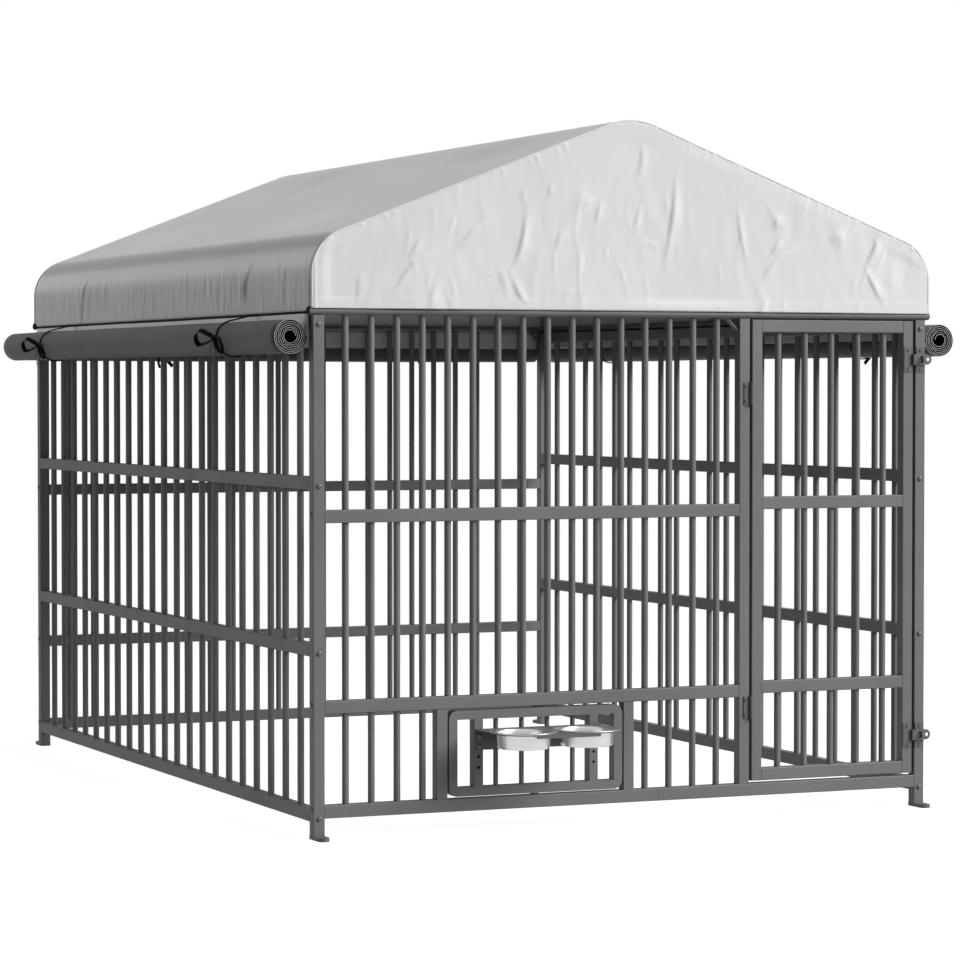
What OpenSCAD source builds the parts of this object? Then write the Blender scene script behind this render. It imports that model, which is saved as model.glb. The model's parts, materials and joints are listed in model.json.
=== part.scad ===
// Outdoor dog kennel run: barred panels between four corner posts, a hinged door with two hasps,
// a turning feeder with two bowls, a fabric roof on bent tubes and three rolled-up side curtains.
// Millimetres, +Z up, the front faces -Y. The origin is on the ground at the centre of the plan.

/* [Frame] */
// Width over the corner posts
frame_w = 1500; // [1440:5:1700]
// Depth over the corner posts
frame_d = 2100; // [1800:5:2500]
// Height of the tops of the corner posts
post_top = 1118; // [1080:1:1250]
// Side of the square post tube, also the depth of the rails
post_w = 26; // [24:1:30]
// Height of the rail tube
rail_h = 28; // [25:1:31]
// Wall of the post and rail tube
tube_wall = 1.5; // [1:0.1:2]
// Outside radius of the corners of the post and rail tube
tube_corner_r = 2; // [1:0.5:3]
// Diameter of the round bars
bar_d = 15; // [12:0.5:18]
// Wall of the round bars
bar_wall = 1; // [0.8:0.1:1.5]

/* [Rail heights] */
// Underside of the front and rear bottom rails
front_bottom_z = 45; // [40:1:60]
// Underside of the front and rear lower rails
front_lower_z = 268; // [262:1:300]
// Underside of the front and rear upper rails
front_upper_z = 675; // [600:1:760]
// Underside of the bottom rails of the sides
side_bottom_z = 37; // [30:1:45]
// Underside of the lower rails of the sides
side_lower_z = 390; // [340:1:450]
// Underside of the upper rails of the sides
side_upper_z = 746; // [700:1:820]

/* [Bar counts] */
// Bars in the fixed part of the front
front_bar_count = 16; // [14:1:18]
// Bars in the rear panel
rear_bar_count = 21; // [16:1:24]
// Bars in each side panel
side_bar_count = 21; // [16:1:26]
// Bars in the door
door_bar_count = 5; // [3:1:5]
// Spacing of the door bars
door_bar_pitch = 68; // [40:1:75]

/* [Feet] */
// Thickness of the foot plate
foot_t = 8; // [5:1:12]
// Length of the toe beyond the post
toe_len = 38; // [30:1:60]
// Diameter of the anchor hole in the toe
anchor_d = 9; // [6:0.5:11]
// Height of the plug inside the post
foot_plug_h = 24; // [10:1:28]

/* [Fasteners] */
// Diameter of the frame bolts
bolt_d = 6; // [4:0.5:8]
// Diameter of the heads of the frame bolts
bolt_head_d = 11; // [10:0.5:13]
// Height of the heads of the frame bolts
bolt_head_h = 3.5; // [2:0.5:5]
// How far the bolts sit off the middle of the rails
bolt_shift = 6; // [5:0.5:7]
// Length of the threaded plugs in the rail ends
plug_len = 18; // [12:1:24]
// Length of the sleeves inside the rail seams
sleeve_len = 60; // [40:1:64]
// Diameter of the small screws
screw_d = 3.4; // [3:0.2:4]
// Diameter of the heads of the small screws
screw_head_d = 6.5; // [6:0.5:8]
// Height of the heads of the small screws
screw_head_h = 1.8; // [1:0.2:2.2]
// Length of the small screws behind the plates
screw_len = 7; // [4:1:12]

/* [Door] */
// Width of the door
door_w = 416; // [380:1:440]
// Gap at each side of the door
door_gap = 6; // [5.5:0.5:8]
// Gap under the door
door_floor_gap = 5.5; // [4:0.5:10]
// Gap over the door
door_head_gap = 2; // [1:0.5:6]
// Underside of the lower rail of the door
door_lower_z = 275; // [250:1:320]
// Underside of the upper rail of the door
door_upper_z = 690; // [640:1:760]
// Height of the middle of the upper hinge
upper_hinge_z = 950; // [800:1:1000]
// Height of the middle of the lower hinge
lower_hinge_z = 245; // [200:1:320]
// Height of a hinge
hinge_h = 50; // [40:1:70]
// Radius of the hinge knuckles
hinge_r = 4.5; // [4:0.1:4.9]
// Diameter of the hinge pins
hinge_pin_d = 5; // [4:0.5:6]
// Width of the hinge leaves
hinge_leaf_w = 18; // [14:1:20]
// Thickness of hinge and hasp plates
plate_t = 2; // [1.5:0.1:2.2]

/* [Hasps] */
// Height of the middle of the upper hasp
upper_hasp_z = 1028; // [900:1:1060]
// Height of the middle of the lower hasp
lower_hasp_z = 166; // [150:1:220]
// Height of the plates on the door and the post
hasp_plate_h = 56; // [50:1:70]
// Height of the strap
strap_h = 24; // [20:1:28]
// Length of the strap from its pin to its tip
strap_len = 46; // [44:1:60]
// Radius of the strap's knuckle
strap_knuckle_r = 3.4; // [3:0.1:3.5]
// Diameter of the strap's pin
strap_pin_d = 3; // [2.5:0.1:3.5]
// Radius of the staple's bend
staple_r = 5; // [4:0.5:6]
// Diameter of the staple's rod
staple_d = 4; // [3:0.5:4.5]
// Diameter of the eye in the strap's tip
eye_d = 8; // [5:0.5:9]

/* [Feeder] */
// Middle of the feeder, from the left face of the frame
feeder_x = 521; // [500:1:560]
// Width of the opening for the feeder
feeder_open = 422; // [420:1:440]
// Gap at each side of the feeder frame
feeder_side_gap = 3; // [2:0.5:5]
// Gap over and under the feeder frame
feeder_end_gap = 4; // [3:0.5:6]
// Width of the feeder frame's members
feeder_member = 20; // [16:1:24]
// Radius of the feeder frame's corners
feeder_corner_r = 20; // [10:1:22]
// Diameter of the thin bars
feeder_bar_d = 11; // [8:0.5:13]
// Spacing of the thin bars
feeder_bar_pitch = 61.5; // [50:0.5:65]
// Width of the drilled strips
strip_w = 22; // [18:1:24]
// Middle of the drilled strips, from the middle of the feeder
strip_off = 138; // [130:1:150]
// Height of the lowest hole in the strips
strip_hole_z = 139; // [125:1:142]
// Spacing of the holes in the strips
strip_hole_pitch = 23; // [18:1:24]
// Diameter of the feeder's pivot pins
pivot_d = 10; // [8:0.5:12]
// Depth of the pivot pins in the rails and in the feeder frame
pivot_reach = 10; // [8:1:14]

/* [Bowls] */
// Height of the top of the bowl holder
holder_z = 223; // [212:1:226]
// Height of the back flange of the bowl holder
holder_h = 46; // [44:1:56]
// Thickness of the bowl holder
holder_t = 3; // [2:0.5:4]
// Height of the front lip of the bowl holder
holder_lip = 9; // [5:1:14]
// Radius of the rims of the bowls
bowl_rim_r = 74; // [68:1:75]
// Radius of the bowls under the rims
bowl_body_r = 60; // [54:1:66]
// Radius of the bottoms of the bowls
bowl_base_r = 57; // [46:1:58]
// Depth of the bowls below the rims
bowl_depth = 36; // [25:1:50]
// Thickness of the bowls
bowl_t = 1.2; // [0.8:0.1:2]
// Distance of the bowls' rims from the feeder frame
bowl_stand_off = 24; // [12:1:26]

/* [Roof] */
// Diameter of the roof tubes
roof_d = 18; // [16:0.5:22]
// Wall of the roof tubes
roof_wall = 1.2; // [1:0.1:1.6]
// Distance of the roof tubes' axes inside the faces of the posts
eave_inset = 5; // [3:0.5:7]
// How far the front and rear eave tubes pass the posts
eave_over = 8; // [6:1:12]
// Height of the skirt from its hem to the eave line
skirt_h = 142; // [120:1:180]
// How far the hem of the skirt covers the eave tubes
hem_lap = 4; // [0:1:10]
// How far the side skirts hang below the hem of the gables
side_lap = 6; // [0:1:8]
// Slope of the roof in degrees
roof_pitch = 21; // [15:0.1:28]
// Outside radius of the bends at the eaves
eave_bend_r = 100; // [70:1:130]
// Outside radius of the bend at the ridge
ridge_bend_r = 160; // [70:1:200]
// Thickness of the cover
cover_t = 1.5; // [1:0.1:2]
// Length of the tabs of the corner braces
brace_tab = 30; // [20:1:40]
// Drop of the slanting part of the corner braces
brace_drop = 24; // [16:1:30]
// Thickness of the corner braces
brace_t = 3; // [2:0.5:4]
// Width of the corner braces
brace_w = 16; // [12:1:20]

/* [Curtains] */
// Outside radius of a rolled curtain
roll_r = 39; // [30:1:40]
// Radius of the hollow core of a roll
roll_core_r = 12; // [6:1:14]
// Turns in a roll
roll_turns = 6; // [5:0.5:7]
// Thickness of the rolled sheet
sheet_t = 2; // [1.5:0.1:2.2]
// Distance of the roll's axis outside the faces of the posts
roll_out = 46; // [44:1:55]
// Drop of the roll's axis below the tops of the posts
roll_drop = 45; // [36:1:60]
// How far the side rolls pass the rear posts
roll_over = 38; // [10:1:60]
// Distance of the side ties from the front face of the frame
tie_front = 385; // [300:5:700]
// Distance of the side ties from the rear face of the frame
tie_rear = 319; // [100:1:500]
// Distance of the rear ties from the sides of the frame
rear_tie_in = 375; // [200:5:500]
// Width of the tie tapes
tape_w = 8; // [5:1:12]
// Thickness of the tie tapes
tape_t = 1.2; // [0.8:0.1:1.6]
// Length of a loop of a tied bow
bow_loop = 46; // [30:1:54]
// Length of the tails of a tied bow
bow_tail = 34; // [20:1:40]

/* [Hidden] */
$fn = 48;

// Colours
frame_colour = "#6b6b6b";
fitting_colour = "#555555";
steel_colour = "#cfcfcf";
cover_colour = "#d6d6d6";
curtain_colour = "#5c5c5c";
tape_colour = "#1c1c1c";

// Fits
// Seat between pieces that rest on each other
seat = 0.2;
// Room round a bar in its hole, per side
bar_fit = 0.2;
// Room round a bolt or screw, per side
bolt_fit = 0.2;
// Room round a thread or a fixed pin, per side
thread_fit = 0.05;
// Room of a running pin, per side
run_fit = 0.05;
// Room of a plug or sleeve in its tube, per side
plug_fit = 0.2;
// Room between soft pieces and what they lie on
soft_gap = 0.4;
// Room round a bowl in its ring
ring_fit = 1;
// Seam between two lengths of rail
seam_gap = 0.6;
// How far a cutting tool passes a face
cut = 1;

// Frame places
half_w = frame_w / 2;
half_d = frame_d / 2;
post_x = half_w - post_w / 2;
post_y = half_d - post_w / 2;
side_top_z = post_top - rail_h;
side_zs = [side_bottom_z, side_lower_z, side_upper_z, side_top_z];
front_zs = [front_bottom_z, front_lower_z, front_upper_z];
bore_w = post_w - 2 * tube_wall;
bore_h = rail_h - 2 * tube_wall;

// Door and jamb places
door_right = half_w - post_w - door_gap;
door_left = door_right - door_w;
jamb_left = door_left - door_gap - post_w;
door_z0 = front_bottom_z + rail_h + door_floor_gap;
door_z1 = post_top - door_head_gap;
hinge_x = door_left - door_gap / 2;
hinge_y = -half_d - hinge_r - 0.3;
hinge_gap = 0.4;
hinge_mid = hinge_h / 3;
hinge_zs = [lower_hinge_z, upper_hinge_z];

// Hasp places
hasp_zs = [lower_hasp_z, upper_hasp_z];
hasp_x = door_right - 1;
hasp_y = -half_d - seat - plate_t - strap_knuckle_r - 0.2;
hasp_plate_w = post_w - 4;
strap_tongue = strap_knuckle_r + 0.8;
strap_knuckle_h = strap_h / 2;
staple_leg = 8;
staple_reach = post_x - hasp_x;
hasp_screw_z = hasp_plate_h / 2 - 7;

// Feeder places
feeder_cx = feeder_x - half_w;
feeder_y = -post_y;
feeder_z0 = front_bottom_z + rail_h + feeder_end_gap;
feeder_z1 = front_lower_z - feeder_end_gap;
feeder_w = feeder_open - 2 * feeder_side_gap;
feeder_h = feeder_z1 - feeder_z0;
strip_holes = [for (i = [0:3]) strip_hole_z + i * strip_hole_pitch];
holder_holes = [strip_holes[2], strip_holes[3]];
bowl_pitch = 2 * bowl_rim_r + 2;
bowl_y = -half_d - bowl_stand_off - bowl_rim_r;
ring_hole_r = bowl_body_r + ring_fit;
ring_r = bowl_rim_r - 2;
nut_h = 5;

// Roof places
roof_r = roof_d / 2;
eave_x = half_w - eave_inset;
eave_y = half_d - eave_inset;
eave_z = post_top + roof_r;
tube_top_z = post_top + roof_d;
hem_z = tube_top_z - hem_lap;
side_hem_z = hem_z - side_lap;
skin = roof_r + soft_gap + cover_t;
cover_x = eave_x + skin;
cover_y = eave_y + skin;
eave_line_z = hem_z + skirt_h;
bend_x = cover_x - eave_bend_r;
bend_z = eave_line_z - eave_bend_r * (1 - sin(roof_pitch)) / cos(roof_pitch);
ridge_z = eave_line_z + (cover_x * sin(roof_pitch) - ridge_bend_r) / cos(roof_pitch);
bow_ys = [-eave_y, 0, eave_y];
spigot_neck_d = roof_d / 2;
spigot_h = 40;
cap_dome = 5;
cap_plug = eave_over + eave_inset - spigot_neck_d / 2 - 2 * seat;
arc_steps = 12;

// Curtain places
roll_z = post_top - roll_drop;
roll_pitch = (roll_r - sheet_t - roll_core_r) / roll_turns;
roll_steps = 24;
flap_x = roll_out + eave_inset - roof_r - seat;
flap_top = side_hem_z - roll_z - soft_gap;
flap_end = eave_y - roof_r - soft_gap;
rear_roll_x = eave_x - roof_r;
tie_ys = [-half_d + tie_front, half_d - tie_rear];
rear_tie_xs = [-half_w + rear_tie_in, half_w - rear_tie_in];
knot_r = 5;
bow_w = 18;
bow_band = tape_t + 1;

// Bar places: equal clear gaps between the two faces
function bar_gap(room, count) = (room - count * bar_d) / (count + 1);
function bar_row(start, room, count) = [
  for (i = [0:count - 1]) start + (i + 1) * bar_gap(room, count) + (i + 0.5) * bar_d
];
front_xs = bar_row(-half_w + post_w, jamb_left + half_w - post_w, front_bar_count);
rear_xs = bar_row(-half_w + post_w, frame_w - 2 * post_w, rear_bar_count);
side_ys = bar_row(-half_d + post_w, frame_d - 2 * post_w, side_bar_count);
door_mid = (door_left + door_right) / 2;
door_xs = [for (i = [0:door_bar_count - 1]) door_mid + (i - (door_bar_count - 1) / 2) * door_bar_pitch];
over_feeder = feeder_open / 2 + post_w + bar_d;
front_long_xs = [for (x = front_xs) if (abs(x - feeder_cx) > over_feeder) x];
front_short_xs = [for (x = front_xs) if (abs(x - feeder_cx) <= over_feeder) x];

// Rail seams lie between two bars
seam_bar = floor(side_bar_count / 2);
side_seam = (side_ys[seam_bar - 1] + side_ys[seam_bar]) / 2;
front_seam = feeder_cx + feeder_open / 2 + post_w + sleeve_len;

// Bolt places: a point on the outer face of a post and the turn that points the bolt inwards
function side_bolt_z(z) = z + rail_h / 2 - bolt_shift;
function front_bolt_z(z) = z + rail_h / 2 + bolt_shift;
side_bolt_zs = [for (z = side_zs) side_bolt_z(z)];
front_bolt_zs = [for (z = front_zs) front_bolt_z(z)];
into_right = [0, 90, 0];
into_left = [0, -90, 0];
into_rear = [-90, 0, 0];
into_front = [90, 0, 0];
bolt_seats = concat(
  [for (sx = [-1, 1], z = side_bolt_zs) [[sx * post_x, -half_d, z], into_rear]],
  [for (sx = [-1, 1], z = side_bolt_zs) [[sx * post_x, half_d, z], into_front]],
  [for (z = front_bolt_zs) [[-half_w, -post_y, z], into_right]],
  [[[half_w, -post_y, front_bolt_zs[0]], into_left]],
  [for (z = front_bolt_zs) [[-half_w, post_y, z], into_right]],
  [for (z = front_bolt_zs) [[half_w, post_y, z], into_left]]
);

// Screw places on the front: across and up
hinge_screws = [for (z = hinge_zs, s = [-1, 1]) [hinge_x - hinge_leaf_w + 5, z + s * hinge_h / 3]];
hasp_screws = [for (z = hasp_zs, s = [-1, 1]) [door_right - post_w / 2, z + s * hasp_screw_z]];
staple_screws = [for (z = hasp_zs, s = [-1, 1]) [post_x, z + s * hasp_screw_z]];

// Roof outline, inset by t from the outside of the cover
function arc(cx, cz, r, from, to, steps = arc_steps) = [
  for (i = [0:steps]) let (a = from + (to - from) * i / steps) [cx + r * cos(a), cz + r * sin(a)]
];
function roof_outline(t) = concat(
  [[cover_x - t, hem_z]],
  arc(bend_x, bend_z, eave_bend_r - t, 0, 90 - roof_pitch),
  arc(0, ridge_z, ridge_bend_r - t, 90 - roof_pitch, 90 + roof_pitch),
  arc(-bend_x, bend_z, eave_bend_r - t, 90 + roof_pitch, 180),
  [[t - cover_x, hem_z]]
);

// Rolled sheet round its axis and the free flap that goes up from it to the eave on the +X side
function roll_point(turn, depth) =
  let (r = roll_r - depth - roll_pitch * turn, a = -360 * turn) [r * cos(a), r * sin(a)];
roll_rows = roll_turns * roll_steps;
roll_outline = concat(
  [for (i = [0:roll_rows]) roll_point(i / roll_steps, 0)],
  [for (i = [0:roll_rows]) roll_point((roll_rows - i) / roll_steps, sheet_t)]
);
flap_outline = [[roll_r, 0], [flap_x, flap_top], [flap_x - sheet_t, flap_top], [roll_r - sheet_t, 0]];

// Tie tape round the roll: down the outside, under it and up behind the flap
tie_r = roll_r + soft_gap;
tie_steps = 40;
function flap_at(z) = (flap_x - roll_r) * z / flap_top;
function tangent_turn(p, r) = atan2(p[1], p[0]) + acos(r / norm(p));
tie_high = flap_top - 6;
tie_back = 30;
tie_from = [roll_r - sheet_t - soft_gap + flap_at(tie_high), tie_high];
tie_to = [roll_r + soft_gap + flap_at(tie_back), tie_back];
function tie_edge(t) =
  let (start = tangent_turn(tie_from, tie_r + t))
  concat([tie_from + [0, t]], arc(0, 0, tie_r + t, start, 360, tie_steps), [tie_to + [t, 0]]);
function reversed(list) = [for (i = [len(list) - 1:-1:0]) list[i]];
tie_outline = concat(tie_edge(0), reversed(tie_edge(tape_t)));

// Shared shapes

// Rectangle with round corners, centred
module round_rect(w, h, r) {
  square([w - 2 * r, h], center = true);
  square([w, h - 2 * r], center = true);
  for (sx = [-1, 1], sy = [-1, 1]) translate([sx * (w / 2 - r), sy * (h / 2 - r)]) circle(r = r);
}

// Square or rectangular tube standing on the origin
module box_tube(size_x, size_y, length) {
  linear_extrude(length) difference() {
    round_rect(size_x, size_y, tube_corner_r);
    square([size_x - 2 * tube_wall, size_y - 2 * tube_wall], center = true);
  }
}

// Rail along +X from x0 to x1 on the plane z = 0, drilled for bars
module rail(x0, x1, drilled = []) {
  difference() {
    translate([x0, 0, 0]) rotate([0, 90, 0]) rotate([0, 0, 90])
      translate([0, rail_h / 2, 0]) box_tube(post_w, rail_h, x1 - x0);
    for (x = drilled)
      translate([x, 0, -cut]) cylinder(d = bar_d + 2 * bar_fit, h = rail_h + 2 * cut);
  }
}

// Round tube standing on the origin
module round_tube(d, wall, length) {
  difference() {
    cylinder(d = d, h = length);
    translate([0, 0, -cut]) cylinder(d = d - 2 * wall, h = length + 2 * cut);
  }
}

// Round bar from height z0 to z1
module bar(z0, z1) {
  translate([0, 0, z0]) round_tube(bar_d, bar_wall, z1 - z0);
}

// Bolt along +Z with its domed head below the plane z = 0
module bolt(length) {
  edge = bolt_head_h / 3;
  dome = bolt_head_h - edge;
  rotate_extrude() polygon(concat(
    [[0, 0], [bolt_head_d / 2, 0]],
    [for (a = [0:22.5:90]) [bolt_head_d / 2 * cos(a), -edge - dome * sin(a)]]
  ));
  cylinder(d = bolt_d, h = length);
}

// Holes along Y through the front wall of a tube, at places across and up
module front_holes(places, d) {
  for (p = places)
    translate([p[0], -half_d - cut, p[1]]) rotate([-90, 0, 0]) cylinder(d = d, h = tube_wall + 2 * cut);
}

// Small screw through a plate on the front
module plate_screw(place) {
  translate([place[0], -half_d - seat - plate_t, place[1]]) rotate([-90, 0, 0]) {
    translate([0, 0, -screw_head_h]) cylinder(d = screw_head_d, h = screw_head_h);
    cylinder(d = screw_d, h = plate_t + seat + screw_len);
  }
}

// Plate on the front, between two places across, with screw holes
module front_plate(x0, x1, z, h, places) {
  difference() {
    translate([x0, -half_d - seat - plate_t, z - h / 2]) cube([x1 - x0, plate_t, h]);
    for (p = places)
      translate([p[0], -half_d - seat - plate_t - cut, p[1]]) rotate([-90, 0, 0])
        cylinder(d = screw_d + 2 * bolt_fit, h = plate_t + 2 * cut);
  }
}

// Frame

module corner_post(sx, sy, cross_zs) {
  color(frame_colour) difference() {
    translate([sx * post_x, sy * post_y, foot_t]) box_tube(post_w, post_w, post_top - foot_t);
    for (z = side_bolt_zs)
      translate([sx * post_x, sy * post_y, z]) rotate([90, 0, 0])
        cylinder(d = bolt_d + 2 * bolt_fit, h = post_w + 2 * cut, center = true);
    for (z = cross_zs)
      translate([sx * post_x, sy * post_y, z]) rotate([0, 90, 0])
        cylinder(d = bolt_d + 2 * bolt_fit, h = post_w + 2 * cut, center = true);
    if (sx > 0 && sy < 0) front_holes(staple_screws, screw_d + 2 * bolt_fit);
  }
}

module front_left_post() { corner_post(-1, -1, front_bolt_zs); }
module front_right_post() { corner_post(1, -1, [front_bolt_zs[0]]); }
module rear_left_post() { corner_post(-1, 1, front_bolt_zs); }
module rear_right_post() { corner_post(1, 1, front_bolt_zs); }

// Foot under a post, with its toe towards -Y and a plug up the tube
module foot() {
  toe_y = -post_w / 2 - toe_len + post_w / 2;
  plug_w = bore_w - 2 * plug_fit;
  difference() {
    union() {
      translate([-post_w / 2, toe_y, 0]) cube([post_w, post_w / 2 - toe_y, foot_t]);
      translate([0, toe_y, 0]) cylinder(d = post_w, h = foot_t);
      translate([-plug_w / 2, -plug_w / 2, 0]) cube([plug_w, plug_w, foot_t + foot_plug_h]);
    }
    translate([0, toe_y, -cut]) cylinder(d = anchor_d, h = foot_t + 2 * cut);
  }
}

module anchor_feet() {
  color(fitting_colour)
    for (sx = [-1, 1], turn = [0, 180])
      translate([sx * post_x, (turn == 0 ? -1 : 1) * post_y, 0]) rotate([0, 0, turn]) foot();
}

module front_bottom_rail() {
  color(frame_colour) difference() {
    translate([0, -post_y, front_bottom_z]) {
      rail(-half_w + post_w, front_seam - seam_gap / 2);
      rail(front_seam + seam_gap / 2, half_w - post_w);
    }
    translate([feeder_cx, feeder_y, front_bottom_z + rail_h - tube_wall - cut])
      cylinder(d = pivot_d + 2 * run_fit, h = tube_wall + 2 * cut);
  }
}

module front_lower_rail() {
  color(frame_colour) difference() {
    translate([0, -post_y, front_lower_z]) rail(-half_w + post_w, jamb_left, front_long_xs);
    translate([feeder_cx, feeder_y, front_lower_z - cut])
      cylinder(d = pivot_d + 2 * run_fit, h = tube_wall + 2 * cut);
  }
}

module front_upper_rail() {
  color(frame_colour) translate([0, -post_y, front_upper_z]) rail(-half_w + post_w, jamb_left, front_xs);
}

module door_jamb() {
  base_z = front_bottom_z + rail_h;
  color(frame_colour) difference() {
    translate([jamb_left + post_w / 2, -post_y, base_z]) box_tube(post_w, post_w, post_top - base_z);
    front_holes(hinge_screws, screw_d + 2 * bolt_fit);
  }
}

module feeder_stiles() {
  base_z = front_bottom_z + rail_h;
  color(frame_colour)
    for (s = [-1, 1])
      translate([feeder_cx + s * (feeder_open + post_w) / 2, -post_y, base_z])
        box_tube(post_w, post_w, front_lower_z - base_z);
}

module front_bars() {
  color(frame_colour) {
    for (x = front_long_xs) translate([x, -post_y, 0]) bar(front_bottom_z + rail_h, post_top - seat);
    for (x = front_short_xs) translate([x, -post_y, 0]) bar(front_lower_z + rail_h, post_top - seat);
  }
}

module rear_rails() {
  color(frame_colour)
    for (i = [0:2])
      translate([0, post_y, front_zs[i]])
        rail(-half_w + post_w, half_w - post_w, i == 0 ? [] : rear_xs);
}

module rear_bars() {
  color(frame_colour)
    for (x = rear_xs) translate([x, post_y, 0]) bar(front_bottom_z + rail_h, post_top - seat);
}

// Rails of one side in two lengths; the middle two are drilled for the bars
module side_rails(sx) {
  front_ys = [for (y = side_ys) if (y < side_seam) y];
  rear_ys = [for (y = side_ys) if (y > side_seam) y];
  color(frame_colour)
    for (i = [0:3])
      translate([sx * post_x, 0, side_zs[i]]) rotate([0, 0, 90]) {
        drilled = i == 1 || i == 2;
        rail(-half_d + post_w, side_seam - seam_gap / 2, drilled ? front_ys : []);
        rail(side_seam + seam_gap / 2, half_d - post_w, drilled ? rear_ys : []);
      }
}

module side_bars(sx) {
  color(frame_colour)
    for (y = side_ys) translate([sx * post_x, y, 0]) bar(side_bottom_z + rail_h, side_top_z);
}

module left_rails() { side_rails(-1); }
module right_rails() { side_rails(1); }
module left_bars() { side_bars(-1); }
module right_bars() { side_bars(1); }

// Sleeve inside a rail seam, along X through the origin
module sleeve() {
  translate([-sleeve_len / 2, 0, 0]) rotate([0, 90, 0]) rotate([0, 0, 90])
    translate([0, rail_h / 2, 0]) box_tube(bore_w - 2 * plug_fit, bore_h - 2 * plug_fit, sleeve_len);
}

module rail_sleeves() {
  color(fitting_colour) {
    translate([front_seam, -post_y, front_bottom_z]) sleeve();
    for (sx = [-1, 1], z = side_zs)
      translate([sx * post_x, side_seam, z]) rotate([0, 0, 90]) sleeve();
  }
}

// Plug in a rail end, with the bolt along +Z; off is the shift of the rail's middle from the bolt
module rail_plug(off_x, off_y) {
  wide = bore_w - 2 * plug_fit;
  tall = bore_h - 2 * plug_fit;
  size = abs(off_x) > 0 ? [tall, wide] : [wide, tall];
  difference() {
    translate([off_x - size[0] / 2, off_y - size[1] / 2, post_w]) cube([size[0], size[1], plug_len]);
    translate([0, 0, post_w - cut]) cylinder(d = bolt_d + 2 * thread_fit, h = plug_len + 2 * cut);
  }
}

module rail_plugs() {
  color(fitting_colour)
    for (b = bolt_seats) {
      turn = b[1];
      off_x = turn == into_right ? bolt_shift : turn == into_left ? -bolt_shift : 0;
      off_y = turn == into_rear ? -bolt_shift : turn == into_front ? bolt_shift : 0;
      translate(b[0]) rotate(turn) rail_plug(off_x, off_y);
    }
}

module frame_bolts() {
  color(steel_colour)
    for (b = bolt_seats) translate(b[0]) rotate(b[1]) bolt(post_w + plug_len - 2);
}

// Door

module door_stile(x, holes) {
  color(frame_colour) difference() {
    translate([x, -post_y, door_z0]) box_tube(post_w, post_w, door_z1 - door_z0);
    front_holes(holes, screw_d + 2 * bolt_fit);
  }
}

module door_hinge_stile() { door_stile(door_left + post_w / 2, []); }
module door_latch_stile() { door_stile(door_right - post_w / 2, hasp_screws); }

module door_rails() {
  zs = [door_z0, door_lower_z, door_upper_z, door_z1 - rail_h];
  color(frame_colour)
    for (i = [0:3])
      translate([0, -post_y, zs[i]])
        rail(door_left + post_w, door_right - post_w, i == 1 || i == 2 ? door_xs : []);
}

module door_bars() {
  color(frame_colour)
    for (x = door_xs) translate([x, -post_y, 0]) bar(door_z0 + rail_h, door_z1 - rail_h);
}

// Knuckle on the hinge axis between two heights
module knuckle(z0, z1) {
  translate([hinge_x, hinge_y, z0]) cylinder(r = hinge_r, h = z1 - z0);
}

module hinge_jamb_leaf(z) {
  x0 = hinge_x - hinge_leaf_w;
  plate_y = -half_d - seat - plate_t;
  low = z - hinge_h / 2;
  high = z + hinge_h / 2;
  difference() {
    union() {
      translate([x0, plate_y, low]) cube([hinge_leaf_w - hinge_r, plate_t, hinge_h]);
      for (span = [[low, z - hinge_mid / 2 - hinge_gap], [z + hinge_mid / 2 + hinge_gap, high]]) {
        knuckle(span[0], span[1]);
        translate([hinge_x - hinge_r - cut, plate_y, span[0]]) cube([hinge_r + cut, plate_t, span[1] - span[0]]);
      }
    }
    translate([hinge_x, hinge_y, low - cut]) cylinder(d = hinge_pin_d + 2 * thread_fit, h = hinge_h + 2 * cut);
    for (p = hinge_screws)
      translate([p[0], plate_y - cut, p[1]]) rotate([-90, 0, 0])
        cylinder(d = screw_d + 2 * bolt_fit, h = plate_t + 2 * cut);
  }
}

// Leaf on the side of the door's hinge stile, inside the gap
module hinge_door_leaf(z) {
  x1 = door_left - seat;
  leaf_y = hinge_y + hinge_r + 0.8;
  difference() {
    union() {
      translate([x1 - plate_t, leaf_y, z - hinge_h / 2]) cube([plate_t, hinge_leaf_w, hinge_h]);
      translate([x1 - plate_t, hinge_y, z - hinge_mid / 2]) cube([plate_t, leaf_y - hinge_y + cut, hinge_mid]);
      knuckle(z - hinge_mid / 2, z + hinge_mid / 2);
    }
    translate([hinge_x, hinge_y, z - hinge_h / 2 - cut]) cylinder(d = hinge_pin_d + 2 * run_fit, h = hinge_h + 2 * cut);
  }
}

module hinge_jamb_leaves() { color(fitting_colour) for (z = hinge_zs) hinge_jamb_leaf(z); }
module hinge_door_leaves() { color(fitting_colour) for (z = hinge_zs) hinge_door_leaf(z); }

module hinge_pins() {
  head_h = 2;
  color(steel_colour)
    for (z = hinge_zs) translate([hinge_x, hinge_y, z - hinge_h / 2]) {
      cylinder(d = hinge_pin_d, h = hinge_h + seat);
      translate([0, 0, hinge_h + seat]) cylinder(r = hinge_r - 0.5, h = head_h);
    }
}

// Hasps

module hasp_base(z) {
  x1 = door_right - 2;
  ear = (strap_h - strap_knuckle_h) / 2;
  difference() {
    union() {
      front_plate(x1 - hasp_plate_w, x1, z, hasp_plate_h, hasp_screws);
      for (s = [-1, 1]) {
        ear_z = z + s * (strap_knuckle_h / 2 + hinge_gap + ear / 2) - ear / 2;
        translate([hasp_x, hasp_y, ear_z]) cylinder(r = strap_knuckle_r, h = ear);
        translate([hasp_x - strap_knuckle_r, hasp_y, ear_z])
          cube([strap_knuckle_r, -half_d - seat - hasp_y, ear]);
      }
    }
    translate([hasp_x, hasp_y, z - strap_h]) cylinder(d = strap_pin_d + 2 * thread_fit, h = 2 * strap_h);
  }
}

module hasp_bases() { color(fitting_colour) for (z = hasp_zs) hasp_base(z); }

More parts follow.
